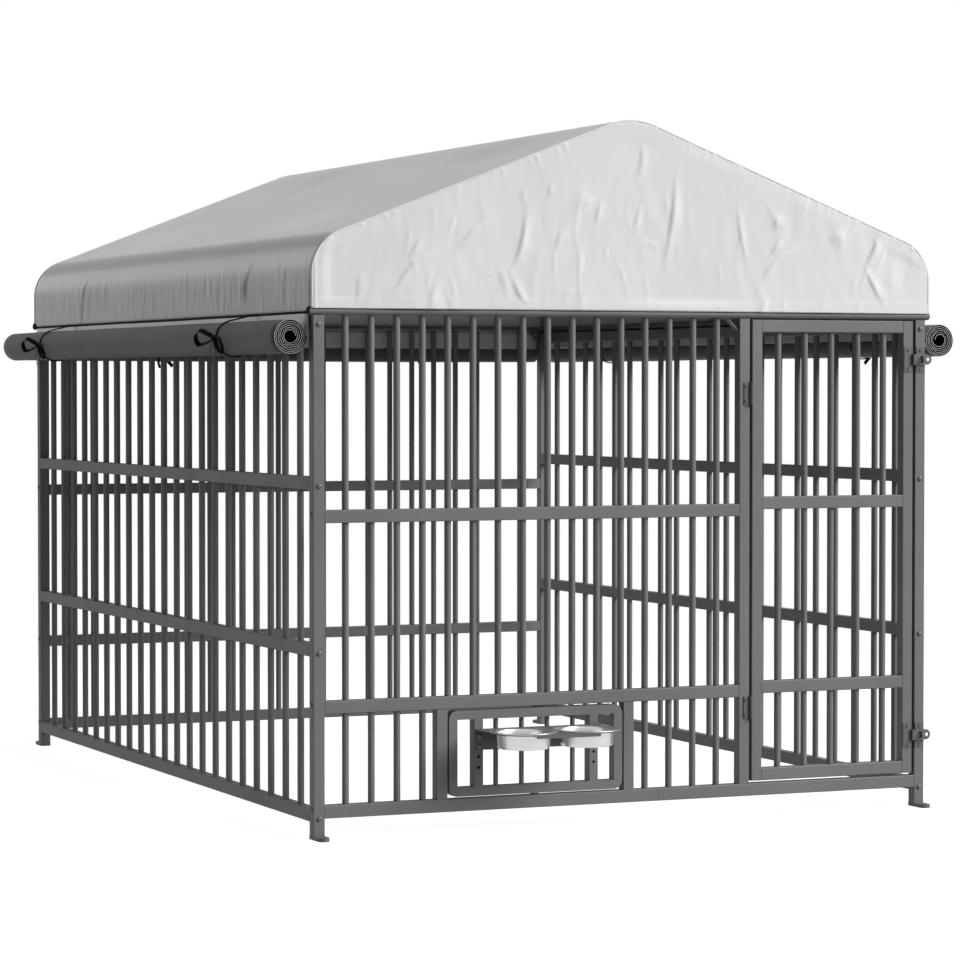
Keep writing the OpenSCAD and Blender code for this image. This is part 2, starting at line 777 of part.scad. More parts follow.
// Strap with its slot for the staple and an eye at its round tip
module hasp_strap(z) {
  slot_x0 = staple_reach - staple_d / 2 - 1;
  slot_x1 = staple_reach + staple_d / 2 + 3;
  slot_h = 2 * staple_r + staple_d + 2.4;
  tip_r = strap_h / 2;
  color(fitting_colour) translate([hasp_x, hasp_y, z]) difference() {
    union() {
      translate([0, plate_t / 2, 0]) rotate([90, 0, 0]) linear_extrude(plate_t) difference() {
        union() {
          translate([0, -strap_knuckle_h / 2]) square([strap_tongue + cut, strap_knuckle_h]);
          translate([strap_tongue, -strap_h / 2]) square([strap_len - strap_tongue - tip_r, strap_h]);
          translate([strap_len - tip_r, 0]) circle(r = tip_r);
        }
        translate([slot_x0, -slot_h / 2]) square([slot_x1 - slot_x0, slot_h]);
        translate([strap_len - tip_r + 3, 0]) circle(d = eye_d);
      }
      translate([0, 0, -strap_knuckle_h / 2]) cylinder(r = strap_knuckle_r, h = strap_knuckle_h);
    }
    translate([0, 0, -strap_h]) cylinder(d = strap_pin_d + 2 * run_fit, h = 2 * strap_h);
  }
}

module upper_hasp_strap() { hasp_strap(upper_hasp_z); }
module lower_hasp_strap() { hasp_strap(lower_hasp_z); }

// Staple plate on the post with a rod bent to a half ring
module hasp_staple(z) {
  plate_y = -half_d - seat - plate_t;
  front_plate(post_x - hasp_plate_w / 2, post_x + hasp_plate_w / 2, z, hasp_plate_h, staple_screws);
  translate([post_x, plate_y - staple_leg, z]) {
    for (s = [-1, 1])
      translate([0, 0, s * staple_r]) rotate([-90, 0, 0]) cylinder(d = staple_d, h = staple_leg + plate_t / 2);
    rotate([0, 0, 180]) rotate([0, 90, 0])
      rotate_extrude(angle = 180) translate([staple_r, 0]) circle(d = staple_d);
  }
}

module hasp_staples() { color(fitting_colour) for (z = hasp_zs) hasp_staple(z); }

module hasp_pins() {
  pin_h = strap_h + 2 * hinge_gap;
  color(steel_colour)
    for (z = hasp_zs) translate([hasp_x, hasp_y, z - pin_h / 2]) cylinder(d = strap_pin_d, h = pin_h);
}

module door_screws() { color(steel_colour) for (p = hasp_screws) plate_screw(p); }
module frame_screws() { color(steel_colour) for (p = concat(hinge_screws, staple_screws)) plate_screw(p); }

// Feeder

// Upright ring of the feeder frame with members of the given inset from its outside
module feeder_ring(inset, depth) {
  translate([feeder_cx, feeder_y + depth / 2, (feeder_z0 + feeder_z1) / 2]) rotate([90, 0, 0])
    linear_extrude(depth) difference() {
      round_rect(feeder_w - 2 * inset, feeder_h - 2 * inset, feeder_corner_r - inset);
      square([feeder_w - 2 * (feeder_member - inset), feeder_h - 2 * (feeder_member - inset)], center = true);
    }
}

module feeder_frame() {
  color(frame_colour) difference() {
    feeder_ring(0, post_w);
    feeder_ring(tube_wall, bore_w);
    for (z = [feeder_z0 - cut, feeder_z1 - pivot_reach])
      translate([feeder_cx, feeder_y, z]) cylinder(d = pivot_d + 2 * thread_fit, h = pivot_reach + cut);
  }
}

module feeder_strips() {
  z0 = feeder_z0 + feeder_member;
  color(frame_colour)
    for (s = [-1, 1]) difference() {
      translate([feeder_cx + s * strip_off, feeder_y, z0]) box_tube(strip_w, post_w, feeder_h - 2 * feeder_member);
      for (z = strip_holes)
        translate([feeder_cx + s * strip_off, feeder_y, z]) rotate([90, 0, 0])
          cylinder(d = bolt_d + 2 * bolt_fit, h = post_w + 2 * cut, center = true);
    }
}

module feeder_bars() {
  color(frame_colour)
    for (i = [-1.5:1:1.5])
      translate([feeder_cx + i * feeder_bar_pitch, feeder_y, feeder_z0 + feeder_member])
        round_tube(feeder_bar_d, bar_wall, feeder_h - 2 * feeder_member);
}

// The lower pin has a collar that carries the feeder on the bottom rail
module feeder_pivots() {
  rail_top = front_bottom_z + rail_h;
  color(steel_colour) translate([feeder_cx, feeder_y, 0]) {
    translate([0, 0, rail_top - pivot_reach]) cylinder(d = pivot_d, h = 2 * pivot_reach + feeder_end_gap);
    translate([0, 0, rail_top + seat]) cylinder(d = pivot_d + 8, h = feeder_end_gap - seat);
    translate([0, 0, feeder_z1 - pivot_reach]) cylinder(d = pivot_d, h = 2 * pivot_reach + feeder_end_gap);
  }
}

// Bent plate: a back flange on the strips, a shelf with two rings and a front lip
module bowl_holder() {
  flange_w = 2 * strip_off + strip_w;
  back_y = -half_d - seat;
  reach = back_y - bowl_y;
  front = reach + ring_r;
  color(fitting_colour) translate([feeder_cx, back_y, 0]) difference() {
    union() {
      translate([-flange_w / 2, -holder_t, holder_z - holder_h]) cube([flange_w, holder_t, holder_h]);
      translate([0, 0, holder_z - holder_t]) linear_extrude(holder_t) difference() {
        union() {
          polygon([[-flange_w / 2, 0], [flange_w / 2, 0],
            [bowl_pitch / 2 + ring_r, -reach], [-bowl_pitch / 2 - ring_r, -reach]]);
          translate([-bowl_pitch / 2, -front]) square([bowl_pitch, front]);
          for (s = [-1, 1]) translate([s * bowl_pitch / 2, -reach]) circle(r = ring_r);
        }
        for (s = [-1, 1]) translate([s * bowl_pitch / 2, -reach]) circle(r = ring_hole_r);
      }
      translate([-bowl_pitch / 2, -front, holder_z - holder_lip]) cube([bowl_pitch, holder_t, holder_lip]);
    }
    for (s = [-1, 1], z = holder_holes)
      translate([s * strip_off, cut, z]) rotate([90, 0, 0])
        cylinder(d = bolt_d + 2 * bolt_fit, h = holder_t + 2 * cut);
  }
}

// Bolts through the holder and the strips, with nuts behind
module holder_bolts() {
  bolt_len = holder_t + seat + post_w + nut_h + 2;
  color(steel_colour)
    for (s = [-1, 1], z = holder_holes)
      translate([feeder_cx + s * strip_off, -half_d - seat - holder_t, z]) rotate([-90, 0, 0]) {
        bolt(bolt_len);
        translate([0, 0, bolt_len - 2 - nut_h + seat]) cylinder(d = bolt_head_d, h = nut_h, $fn = 6);
      }
}

// Bowl standing in its ring by its rim
module bowl(s) {
  rim_z = holder_z + seat;
  base_z = rim_z - bowl_depth;
  foot_r = 6;
  color(steel_colour) translate([feeder_cx + s * bowl_pitch / 2, bowl_y, 0]) rotate_extrude($fn = 96) polygon([
    [0, base_z], [bowl_base_r - foot_r, base_z], [bowl_base_r, base_z + foot_r / 2],
    [bowl_body_r, rim_z], [bowl_rim_r, rim_z], [bowl_rim_r, rim_z + bowl_t],
    [bowl_body_r - bowl_t, rim_z + bowl_t], [bowl_base_r - bowl_t, base_z + foot_r / 2 + bowl_t],
    [bowl_base_r - foot_r, base_z + bowl_t], [0, base_z + bowl_t]
  ]);
}

module left_bowl() { bowl(-1); }
module right_bowl() { bowl(1); }

// Roof

// Eave tube across the front or rear, with holes for the spigots of its bow
module cross_eave_tube(sy) {
  color(frame_colour) difference() {
    translate([-half_w - eave_over, sy * eave_y, eave_z]) rotate([0, 90, 0])
      round_tube(roof_d, roof_wall, frame_w + 2 * eave_over);
    for (sx = [-1, 1])
      translate([sx * eave_x, sy * eave_y, eave_z]) cylinder(d = spigot_neck_d + 2 * bolt_fit, h = roof_d);
  }
}

// Eave tube along a side, between the front and rear tubes
module side_eave_tube(sx) {
  length = 2 * (eave_y - roof_r - seat);
  color(frame_colour) difference() {
    translate([sx * eave_x, -length / 2, eave_z]) rotate([-90, 0, 0]) round_tube(roof_d, roof_wall, length);
    translate([sx * eave_x, 0, eave_z]) cylinder(d = spigot_neck_d + 2 * bolt_fit, h = roof_d);
  }
}

module front_eave_tube() { cross_eave_tube(-1); }
module rear_eave_tube() { cross_eave_tube(1); }
module left_eave_tube() { side_eave_tube(-1); }
module right_eave_tube() { side_eave_tube(1); }

// Domed cap in a tube end, along +Z
module eave_cap() {
  plug_r = roof_r - roof_wall - plug_fit;
  rotate_extrude() polygon(concat(
    [[0, -cap_plug], [plug_r, -cap_plug], [plug_r, 0], [roof_r, 0]],
    [for (a = [15:15:90]) [roof_r * cos(a), cap_dome * sin(a)]]
  ));
}

module eave_caps() {
  color(tape_colour)
    for (sx = [-1, 1], sy = [-1, 1])
      translate([sx * (half_w + eave_over), sy * eave_y, eave_z]) rotate([0, sx * 90, 0]) eave_cap();
}

// Bent piece of roof tube in the XZ plane, round a centre, between two angles
module tube_bend(cx, cz, bend_r, from, to) {
  translate([cx, 0, cz]) rotate([90, 0, 0]) rotate([0, 0, from])
    rotate_extrude(angle = to - from) translate([bend_r, 0]) difference() {
      circle(r = roof_r);
      circle(r = roof_r - roof_wall);
    }
}

// One half of a bow in butted lengths: leg, eave bend and rafter
module half_bow() {
  eave_r = eave_bend_r - skin;
  ridge_r = ridge_bend_r - skin;
  low = tube_top_z + seat;
  rafter = norm([
    bend_x + eave_r * sin(roof_pitch) - ridge_r * sin(roof_pitch),
    bend_z + eave_r * cos(roof_pitch) - ridge_z - ridge_r * cos(roof_pitch)
  ]);
  translate([eave_x, 0, low]) round_tube(roof_d, roof_wall, bend_z - seat - low);
  tube_bend(bend_x, bend_z, eave_r, 0, 90 - roof_pitch);
  translate([bend_x + eave_r * sin(roof_pitch), 0, bend_z + eave_r * cos(roof_pitch)])
    rotate([0, roof_pitch - 90, 0]) translate([0, 0, seat]) round_tube(roof_d, roof_wall, rafter - 2 * seat);
}

module roof_bow(y) {
  color(frame_colour) translate([0, y, 0]) {
    half_bow();
    tube_bend(0, ridge_z, ridge_bend_r - skin, 90 - roof_pitch, 90 + roof_pitch);
    mirror([1, 0, 0]) half_bow();
  }
}

module front_roof_bow() { roof_bow(bow_ys[0]); }
module middle_roof_bow() { roof_bow(bow_ys[1]); }
module rear_roof_bow() { roof_bow(bow_ys[2]); }

module ridge_tube() {
  top_z = ridge_z + ridge_bend_r - skin;
  length = eave_y - 2 * (roof_r + seat);
  color(frame_colour)
    for (s = [0, 1])
      translate([0, s * eave_y - eave_y + roof_r + seat, top_z]) rotate([-90, 0, 0])
        round_tube(roof_d, roof_wall, length);
}

// Spigot that stands a bow's leg on an eave tube
module roof_spigots() {
  body_d = roof_d - 2 * roof_wall - 2 * plug_fit;
  color(fitting_colour)
    for (sx = [-1, 1], y = bow_ys) translate([sx * eave_x, y, 0]) {
      translate([0, 0, eave_z + 2]) cylinder(d = spigot_neck_d, h = roof_r);
      translate([0, 0, tube_top_z + seat]) cylinder(d = body_d, h = spigot_h);
    }
}

// Brace with its tab on a face at x = 0, slanting up towards -X to the eave tube
module corner_brace() {
  high = post_top - seat;
  bend = high - brace_drop;
  low = bend - brace_tab;
  side = brace_t * sqrt(2);
  rotate([90, 0, 0]) linear_extrude(brace_w, center = true) polygon([
    [-seat, low], [-seat, bend], [-seat - brace_drop, high], [-seat - brace_drop - side, high],
    [-seat - brace_t, bend - side + brace_t], [-seat - brace_t, low]
  ]);
}

module corner_braces() {
  color(fitting_colour) {
    translate([jamb_left, -post_y, 0]) corner_brace();
    translate([half_w - post_w, post_y, 0]) corner_brace();
    translate([post_w - half_w, post_y, 0]) mirror([1, 0, 0]) corner_brace();
  }
}

// Lower edge of a side skirt, between the front and rear eave tubes
module skirt_edge() {
  translate([-cover_t / 2, side_lap - flap_end, 0]) cube([cover_t, 2 * (flap_end - side_lap), side_lap + cover_t]);
}

// Sheet over the bows with a closed gable at each end, open below and notched round the ends of the eave tubes
module roof_cover() {
  color(cover_colour) difference() {
    union() {
      rotate([90, 0, 0]) difference() {
        linear_extrude(2 * cover_y, center = true) polygon(roof_outline(0));
        translate([0, -cut, 0]) linear_extrude(2 * (cover_y - cover_t), center = true) polygon(roof_outline(cover_t));
        linear_extrude(2 * (cover_y - cover_t), center = true) polygon(roof_outline(cover_t));
      }
      for (sx = [-1, 1]) translate([sx * (cover_x - cover_t / 2), 0, side_hem_z]) skirt_edge();
    }
    for (sx = [-1, 1], sy = [-1, 1])
      translate([sx * cover_x, sy * eave_y, eave_z]) rotate([0, 90, 0])
        cylinder(r = roof_r + soft_gap, h = 4 * cover_t, center = true);
  }
}

// Curtains

// Rolled sheet along +Y from y0 to y1, its flap towards +X as far as y2
module curtain_roll(y0, y1, y2) {
  translate([0, y1, 0]) rotate([90, 0, 0]) linear_extrude(y1 - y0) polygon(roll_outline);
  translate([0, y2, 0]) rotate([90, 0, 0]) linear_extrude(y2 - y0) polygon(flap_outline);
}

module side_curtain() {
  translate([-half_w - roll_out, 0, roll_z]) curtain_roll(-flap_end, half_d + roll_over, flap_end);
}

module left_curtain() { color(curtain_colour) side_curtain(); }
module right_curtain() { color(curtain_colour) mirror([1, 0, 0]) side_curtain(); }

module rear_curtain() {
  color(curtain_colour) translate([0, half_d + roll_out, roll_z]) rotate([0, 0, -90])
    curtain_roll(-rear_roll_x, rear_roll_x, rear_roll_x);
}

// Loop of a bow, lying flat, from the knot towards +X
module bow_ring(length) {
  translate([length / 2, 0]) difference() {
    round_rect(length, bow_w, bow_w / 2 - 0.1);
    round_rect(length - 2 * bow_band, bow_w - 2 * bow_band, bow_w / 2 - bow_band - 0.1);
  }
}

// Tie round a roll: tape, knot, two loops and two tails on the outside
module curtain_tie() {
  knot_x = -tie_r - tape_t;
  rotate([90, 0, 0]) linear_extrude(tape_w, center = true) polygon(tie_outline);
  translate([knot_x + tape_t / 2, 0, 0]) rotate([0, -90, 0]) cylinder(r = knot_r, h = 4);
  translate([knot_x - 1, 0, 0]) rotate([90, 0, -90]) linear_extrude(2) {
    for (turn = [20, 150]) rotate(turn) bow_ring(bow_loop);
    for (turn = [-80, -105]) rotate(turn) translate([0, -1.5]) square([bow_tail, 3]);
  }
}

module curtain_ties() {
  color(tape_colour) {
    for (y = tie_ys) translate([-half_w - roll_out, y, roll_z]) curtain_tie();
    for (y = tie_ys) mirror([1, 0, 0]) translate([-half_w - roll_out, y, roll_z]) curtain_tie();
    for (x = rear_tie_xs)
      translate([x, half_d + roll_out, roll_z]) rotate([0, 0, -90]) curtain_tie();
  }
}

front_left_post();
front_right_post();
rear_left_post();
rear_right_post();
anchor_feet();
front_bottom_rail();
front_lower_rail();
front_upper_rail();
door_jamb();
feeder_stiles();
front_bars();
rear_rails();
rear_bars();
left_rails();
left_bars();
right_rails();
right_bars();
rail_sleeves();
rail_plugs();
frame_bolts();
door_hinge_stile();
door_latch_stile();
door_rails();
door_bars();
hinge_jamb_leaves();
hinge_door_leaves();
hinge_pins();
hasp_bases();
upper_hasp_strap();
lower_hasp_strap();
hasp_staples();
hasp_pins();
door_screws();
frame_screws();
feeder_frame();
feeder_strips();
feeder_bars();
feeder_pivots();
bowl_holder();
holder_bolts();
left_bowl();
right_bowl();
front_eave_tube();
rear_eave_tube();
left_eave_tube();
right_eave_tube();
eave_caps();
front_roof_bow();
middle_roof_bow();
rear_roof_bow();
ridge_tube();
roof_spigots();
corner_braces();
roof_cover();
left_curtain();
right_curtain();
rear_curtain();
curtain_ties();
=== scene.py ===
"""Looks of an outdoor kennel run: finishes of the tube frame and its bolts, the fabric roof cover, the
rolled side curtains with their tied tapes and the bowls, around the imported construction."""

import json
import math

import bmesh
import bpy
import numpy as np
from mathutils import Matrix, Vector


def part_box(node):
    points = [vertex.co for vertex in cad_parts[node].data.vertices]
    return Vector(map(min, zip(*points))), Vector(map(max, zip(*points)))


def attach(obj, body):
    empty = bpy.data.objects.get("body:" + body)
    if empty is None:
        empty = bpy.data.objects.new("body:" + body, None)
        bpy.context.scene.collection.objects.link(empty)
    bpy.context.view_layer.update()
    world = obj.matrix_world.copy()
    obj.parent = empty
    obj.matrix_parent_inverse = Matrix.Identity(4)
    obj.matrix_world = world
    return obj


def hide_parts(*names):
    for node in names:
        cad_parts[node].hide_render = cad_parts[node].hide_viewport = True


bl_info = {
    "name": "Kennel Run",
    "version": (1, 0, 0),
    "blender": (4, 5, 0),
    "location": "View3D > Sidebar > Kennel",
    "description": "Dresses the kennel run's frame with its finishes, cover, curtains and bowls",
    "category": "Object",
}

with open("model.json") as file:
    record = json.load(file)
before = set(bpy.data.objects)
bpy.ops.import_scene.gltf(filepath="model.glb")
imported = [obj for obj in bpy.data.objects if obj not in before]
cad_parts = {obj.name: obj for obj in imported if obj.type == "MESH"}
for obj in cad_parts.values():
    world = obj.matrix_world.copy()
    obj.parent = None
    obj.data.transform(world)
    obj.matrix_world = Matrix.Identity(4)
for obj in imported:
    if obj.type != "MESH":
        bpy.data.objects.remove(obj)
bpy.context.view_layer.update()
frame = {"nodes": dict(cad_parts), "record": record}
COVER_LOW, COVER_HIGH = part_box("roof_cover")
POST_LOW, POST_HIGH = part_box("front_left_post")
LEFT_ROLL_LOW, LEFT_ROLL_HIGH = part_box("left_curtain")
REAR_ROLL_LOW, REAR_ROLL_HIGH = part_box("rear_curtain")
TUBE_LOW, TUBE_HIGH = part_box("front_eave_tube")
HALF_W = -POST_LOW.x
HALF_D = -POST_LOW.y
POST_TOP = POST_HIGH.z
TUBE_R = (TUBE_HIGH.z - TUBE_LOW.z) / 2
TUBE_Y = -(TUBE_LOW.y + TUBE_HIGH.y) / 2
TUBE_Z = (TUBE_LOW.z + TUBE_HIGH.z) / 2

# Folds of a gable: width, height and points (across, above the hem)
GABLE_FOLDS = (
    (0.013, 0.0024, ((-0.255, 0.220), (-0.262, 0.168), (-0.275, 0.120), (-0.295, 0.083))),
    (0.011, 0.0017, ((-0.292, 0.076), (-0.275, 0.038), (-0.250, 0.006))),
    (0.012, 0.0015, ((-0.345, 0.201), (-0.385, 0.168), (-0.420, 0.130))),
    (0.012, 0.0019, ((-0.448, 0.139), (-0.527, 0.092), (-0.567, 0.034))),
    (0.010, 0.0015, ((-0.503, 0.153), (-0.532, 0.112))),
    (0.010, 0.0010, ((-0.644, 0.082), (-0.652, 0.008))),
    (0.009, 0.0010, ((-0.200, 0.276), (-0.200, 0.245))),
    (0.010, 0.0014, ((-0.078, 0.244), (-0.085, 0.213), (-0.093, 0.186))),
    (0.009, 0.0010, ((-0.125, 0.228), (-0.083, 0.248))),
    (0.010, 0.0012, ((-0.171, 0.180), (-0.190, 0.125))),
    (0.012, 0.0014, ((0.025, 0.370), (0.023, 0.330), (0.012, 0.292))),
    (0.010, 0.0012, ((0.023, 0.246), (0.002, 0.170))),
    (0.011, 0.0018, ((0.106, 0.310), (0.101, 0.223), (0.081, 0.097))),
    (0.010, 0.0013, ((0.261, 0.240), (0.267, 0.188), (0.284, 0.104))),
    (0.018, 0.0012, ((0.362, 0.222), (0.360, 0.185))),
    (0.011, 0.0016, ((0.374, 0.168), (0.345, 0.129))),
    (0.012, 0.0017, ((0.428, 0.151), (0.360, 0.117), (0.312, 0.053))),
    (0.018, 0.0013, ((0.528, 0.190), (0.494, 0.160))),
    (0.014, 0.0026, ((0.618, 0.180), (0.613, 0.147), (0.589, 0.104))),
    (0.012, 0.0019, ((0.589, 0.102), (0.600, 0.081), (0.632, 0.022))),
)
# Painted shade and highlight round the eave bend: share of the bend from the skirt up, share of the colour
EAVE_PAINTED_SHADING = ((0.02, 0.92), (0.22, 1.23), (0.4, 1.23), (0.58, 0.9), (0.76, 0.85), (1.0, 0.97), (1.3, 1.0))
# Wedge-shaped folds of the side skirts: places along the left and the right side
LEFT_WEDGES = (-0.62, 0.62)
RIGHT_WEDGES = (-0.38, 0.71)
# Rows of the roof sheet that lie close together near its ends: distances from an end
END_ROWS = (0.0, 0.002, 0.004, 0.0065, 0.0095, 0.013, 0.017)
# Extra thickness of the turned-up hems
HEM_RISE = 0.0003
# Pitch of the cloth's threads, and the length of a wave texture's wave at scale 1
THREAD_PITCH = 0.0016
WAVE_LENGTH = 0.314
# Bow of a tie: points from the knot (out of the roll, along it, up)
ROUND_LOOP = (
    (0.0, 0.0, 0.0), (-0.012, 0.014, 0.010), (-0.023, 0.034, 0.017), (-0.029, 0.044, 0.004),
    (-0.024, 0.038, -0.014), (-0.011, 0.014, -0.009), (0.0, 0.0, 0.0),
)
FLAT_LOOP = (
    (0.0, 0.0, 0.0), (-0.004, -0.024, 0.004), (-0.006, -0.050, -0.004), (-0.004, -0.062, -0.020),
    (0.0, -0.054, -0.035), (-0.002, -0.030, -0.028), (-0.002, -0.012, -0.014), (0.0, 0.0, 0.0),
)
WIDE_TAIL = ((0.0, 0.0, 0.0), (-0.005, 0.010, -0.016), (-0.002, 0.021, -0.034), (0.006, 0.034, -0.052))
NARROW_TAIL = ((0.0, 0.0, 0.0), (-0.004, -0.005, -0.014), (-0.001, -0.007, -0.032), (0.006, -0.003, -0.056))


def number_setting(name, description, default, **kind):
    """Property that holds a number; kind is its unit or subtype."""
    return bpy.props.FloatProperty(name=name, description=description, default=default, **kind)


def length_setting(name, description, default):
    """Property that holds a length in metres."""
    return number_setting(name, description, default, unit="LENGTH")


def angle_setting(name, description, degrees):
    """Property that holds an angle."""
    return number_setting(name, description, math.radians(degrees), subtype="ANGLE")


def colour_setting(name, description, default):
    """Property that holds a colour."""
    return bpy.props.FloatVectorProperty(
        name=name, description=description, default=default, subtype="COLOR"
    )


class CoverSettings(bpy.types.PropertyGroup):
    """Sizes of the fabric cover"""

    pitch: angle_setting("Pitch", "Slope of the roof", 21.0)
    skirt: length_setting("Skirt", "Height of the skirt up to the eave line", 0.142)
    eave_bend: length_setting("Eave bend", "Outside radius of the bends at the eaves", 0.1)
    ridge_bend: length_setting("Ridge bend", "Outside radius of the bend at the ridge", 0.16)
    thickness: length_setting("Thickness", "Thickness of the cover", 0.0015)
    sag: length_setting("Sag", "Sag of the slopes between two bows", 0.008)
    crease: number_setting("Creases", "Strength of the creases in the gables", 1.3)
    pucker: length_setting("Puckers", "Depth of the upright puckers in the skirts", 0.0028)
    piping: length_setting("Piping", "Radius of the piping along the gables", 0.0018)
    dip: length_setting("Dip", "Drop of the sheets towards the seams of the gables", 0.003)
    hem: length_setting("Hem", "Height of the turned-up hem", 0.022)
    side_lap: length_setting("Side lap", "Drop of the side skirts below the gables' hem", 0.006)
    colour: colour_setting("Colour", "Colour of the cover", (0.72, 0.72, 0.715))


class CurtainSettings(bpy.types.PropertyGroup):
    """Sizes of the rolled curtains and their ties"""

    radius: length_setting("Radius", "Outside radius of a roll", 0.039)
    core: length_setting("Core", "Radius of the hollow core of a roll", 0.012)
    turns: number_setting("Turns", "Turns in a roll", 6.0)
    sheet: length_setting("Sheet", "Thickness of the rolled sheet", 0.0011)
    stand_off: length_setting("Stand-off", "Distance of a roll's axis from the posts", 0.046)
    drop: length_setting("Drop", "Drop of a roll's axis below the posts' tops", 0.045)
    tie_front: length_setting("Front ties", "Distance of the side ties from the front", 0.385)
    tie_rear: length_setting("Rear ties", "Distance of the side ties from the rear", 0.319)
    tie_in: length_setting("Ties in", "Distance of the rear ties from the sides", 0.375)
    tape: length_setting("Tape", "Width of the tie tapes", 0.011)
    colour: colour_setting("Colour", "Colour of the rolled curtains", (0.135, 0.135, 0.137))
    # Near black on the turns inside a roll: painted shade in the roll's hollow, on the same sheet as its
    # outside
    roll_inside_painted_shade: colour_setting("Inside", "Colour of the sheet inside a roll", (0.012, 0.012, 0.012))
    edge_colour: colour_setting("Edge", "Colour of the sheet's cut edge", (0.48, 0.48, 0.48))
    # Pale side of the sheet, made paler still: painted light from above on the flap
    flap_colour_with_painted_light: colour_setting("Flap", "Colour of the flap's pale side", (0.74, 0.74, 0.735))
    # Also colours the black strip at the top of each flap, a painted shadow under the cover's hem
    tape_and_hem_shadow_colour: colour_setting("Tape colour", "Colour of the tie tapes", (0.014, 0.014, 0.014))


class MetalSettings(bpy.types.PropertyGroup):
    """Colours of the metal pieces"""

    frame_colour: colour_setting("Frame", "Powder coat of the tubes", (0.154, 0.154, 0.156))
    fitting_colour: colour_setting("Fittings", "Powder coat of the plates", (0.132, 0.132, 0.134))
    steel_colour: colour_setting("Bowls", "Stainless steel of the bowls", (0.57, 0.57, 0.57))
    bolt_colour: colour_setting("Bolts", "Dark plating of bolts and pins", (0.09, 0.09, 0.092))
    cap_colour: colour_setting("Caps", "Plastic of the end caps", (0.05, 0.05, 0.05))


class StageSettings(bpy.types.PropertyGroup):
    """Camera and studio"""

    eye: bpy.props.FloatVectorProperty(
        name="Eye", description="Place of the camera", default=(-3.293, -7.799, 0.965),
        subtype="TRANSLATION"
    )
    yaw: angle_setting("Yaw", "Turn of the camera from +Y to +X", 23.46)
    tilt: angle_setting("Tilt", "Tilt of the camera above level", -1.57)
    lens: number_setting("Lens", "Focal length on a 36 mm square picture", 127.35, unit="CAMERA")
    key_turn: angle_setting("Key turn", "Turn of the key light to the right of the front", 52.0)
    key_rise: angle_setting("Key rise", "Height of the key light above level", 30.0)
    key_distance: length_setting("Key distance", "Distance of the key light", 22.0)
    key_size: length_setting("Key size", "Side of the square key light", 12.5)
    key_power: number_setting("Key", "Power of the key light", 7900.0, unit="POWER")
    fill_turn: angle_setting("Fill turn", "Turn of the fill light to the right of the front", -140.0)
    fill_rise: angle_setting("Fill rise", "Height of the fill light above level", 12.0)
    fill_distance: length_setting("Fill distance", "Distance of the fill light", 18.0)
    fill_size: length_setting("Fill size", "Side of the square fill light", 9.0)
    fill_power: number_setting("Fill", "Power of the fill light", 1350.0, unit="POWER")
    sky: number_setting("Sky", "Light from all round", 0.1)
    floor_colour: colour_setting("Floor", "Colour of the floor", (0.3, 0.3, 0.3))
    floor_glow: number_setting("Floor white", "Whitening of the seen floor", 0.92)
    floor_near: length_setting("White from", "Distance where the floor starts to turn plain white", 2.2)
    floor_far: length_setting("White to", "Distance where the floor is plain white", 4.5)


# Meshes


def mesh_object(name, points, faces, uv):
    """Makes an object of points (n, 3) and quads (m, 4); uv holds one pair per point."""
    mesh = bpy.data.meshes.new(name)
    mesh.from_pydata(points.tolist(), [], faces.tolist())
    layer = mesh.uv_layers.new(name="UVMap")
    layer.data.foreach_set("uv", uv[faces.ravel()].astype(np.float32).ravel())
    mesh.polygons.foreach_set("use_smooth", np.ones(len(faces), bool))
    mesh.update()
    piece = bpy.data.objects.new(name, mesh)
    bpy.context.scene.collection.objects.link(piece)
    return piece


def grid_faces(rows, columns):
    """Quads of a grid: cell (i, j) joins points (i, j), (i+1, j), (i+1, j+1) and (i, j+1)."""
    i = np.arange(rows - 1)[:, None] * columns
    j = np.arange(columns - 1)[None, :]
    return np.stack([i + j, i + columns + j, i + columns + j + 1, i + j + 1], axis=-1).reshape(-1, 4)


def grid_object(name, surface, uv, flip=False):
    """Makes an object of a surface given as points on a grid (rows, columns, 3)."""
    faces = grid_faces(*surface.shape[:2])
    if flip:
        faces = faces[:, ::-1]
    return mesh_object(name, surface.reshape(-1, 3), faces, uv.reshape(-1, 2))


def join_grids(name, grids):
    """Makes one object of several grids, each a surface with its flat coordinates."""
    starts = np.cumsum([0] + [surface.shape[0] * surface.shape[1] for surface, _ in grids])
    points = np.concatenate([surface.reshape(-1, 3) for surface, _ in grids])
    pairs = np.concatenate([uv.reshape(-1, 2) for _, uv in grids])
    faces = [grid_faces(*surface.shape[:2]) + start for (surface, _), start in zip(grids, starts)]
    return mesh_object(name, points, np.concatenate(faces), pairs)


def merged(piece, sharp=None):
    """Joins the points of seams and poles, turns faces outwards and marks edges sharper than an angle."""
    work = bmesh.new()
    work.from_mesh(piece.data)
    bmesh.ops.remove_doubles(work, verts=work.verts, dist=1e-6)
    bmesh.ops.recalc_face_normals(work, faces=work.faces)
    work.to_mesh(piece.data)
    work.free()
    if sharp is not None:
        piece.data.set_sharp_from_angle(angle=sharp)
    return piece


def thicken(piece, thickness, offset):
    """Gives a sheet its thickness; offset -1 grows it inwards, 1 outwards and 0 both ways."""
    wall = piece.modifiers.new("Thickness", "SOLIDIFY")
    wall.thickness = thickness
    wall.offset = offset
    return wall


def unit(vectors):
    """Vectors scaled to length 1."""
    return vectors / np.linalg.norm(vectors, axis=-1, keepdims=True)


def along(path):
    """Distance along a path of points, from its first point."""
    steps = np.linalg.norm(np.diff(path, axis=0), axis=1)
    return np.concatenate([[0.0], np.cumsum(steps)])


def resample(path, count):
    """Points at equal distances along a path."""
    length = along(path)
    at = np.linspace(0.0, length[-1], count)
    return np.stack([np.interp(at, length, path[:, k]) for k in range(path.shape[1])], axis=1)


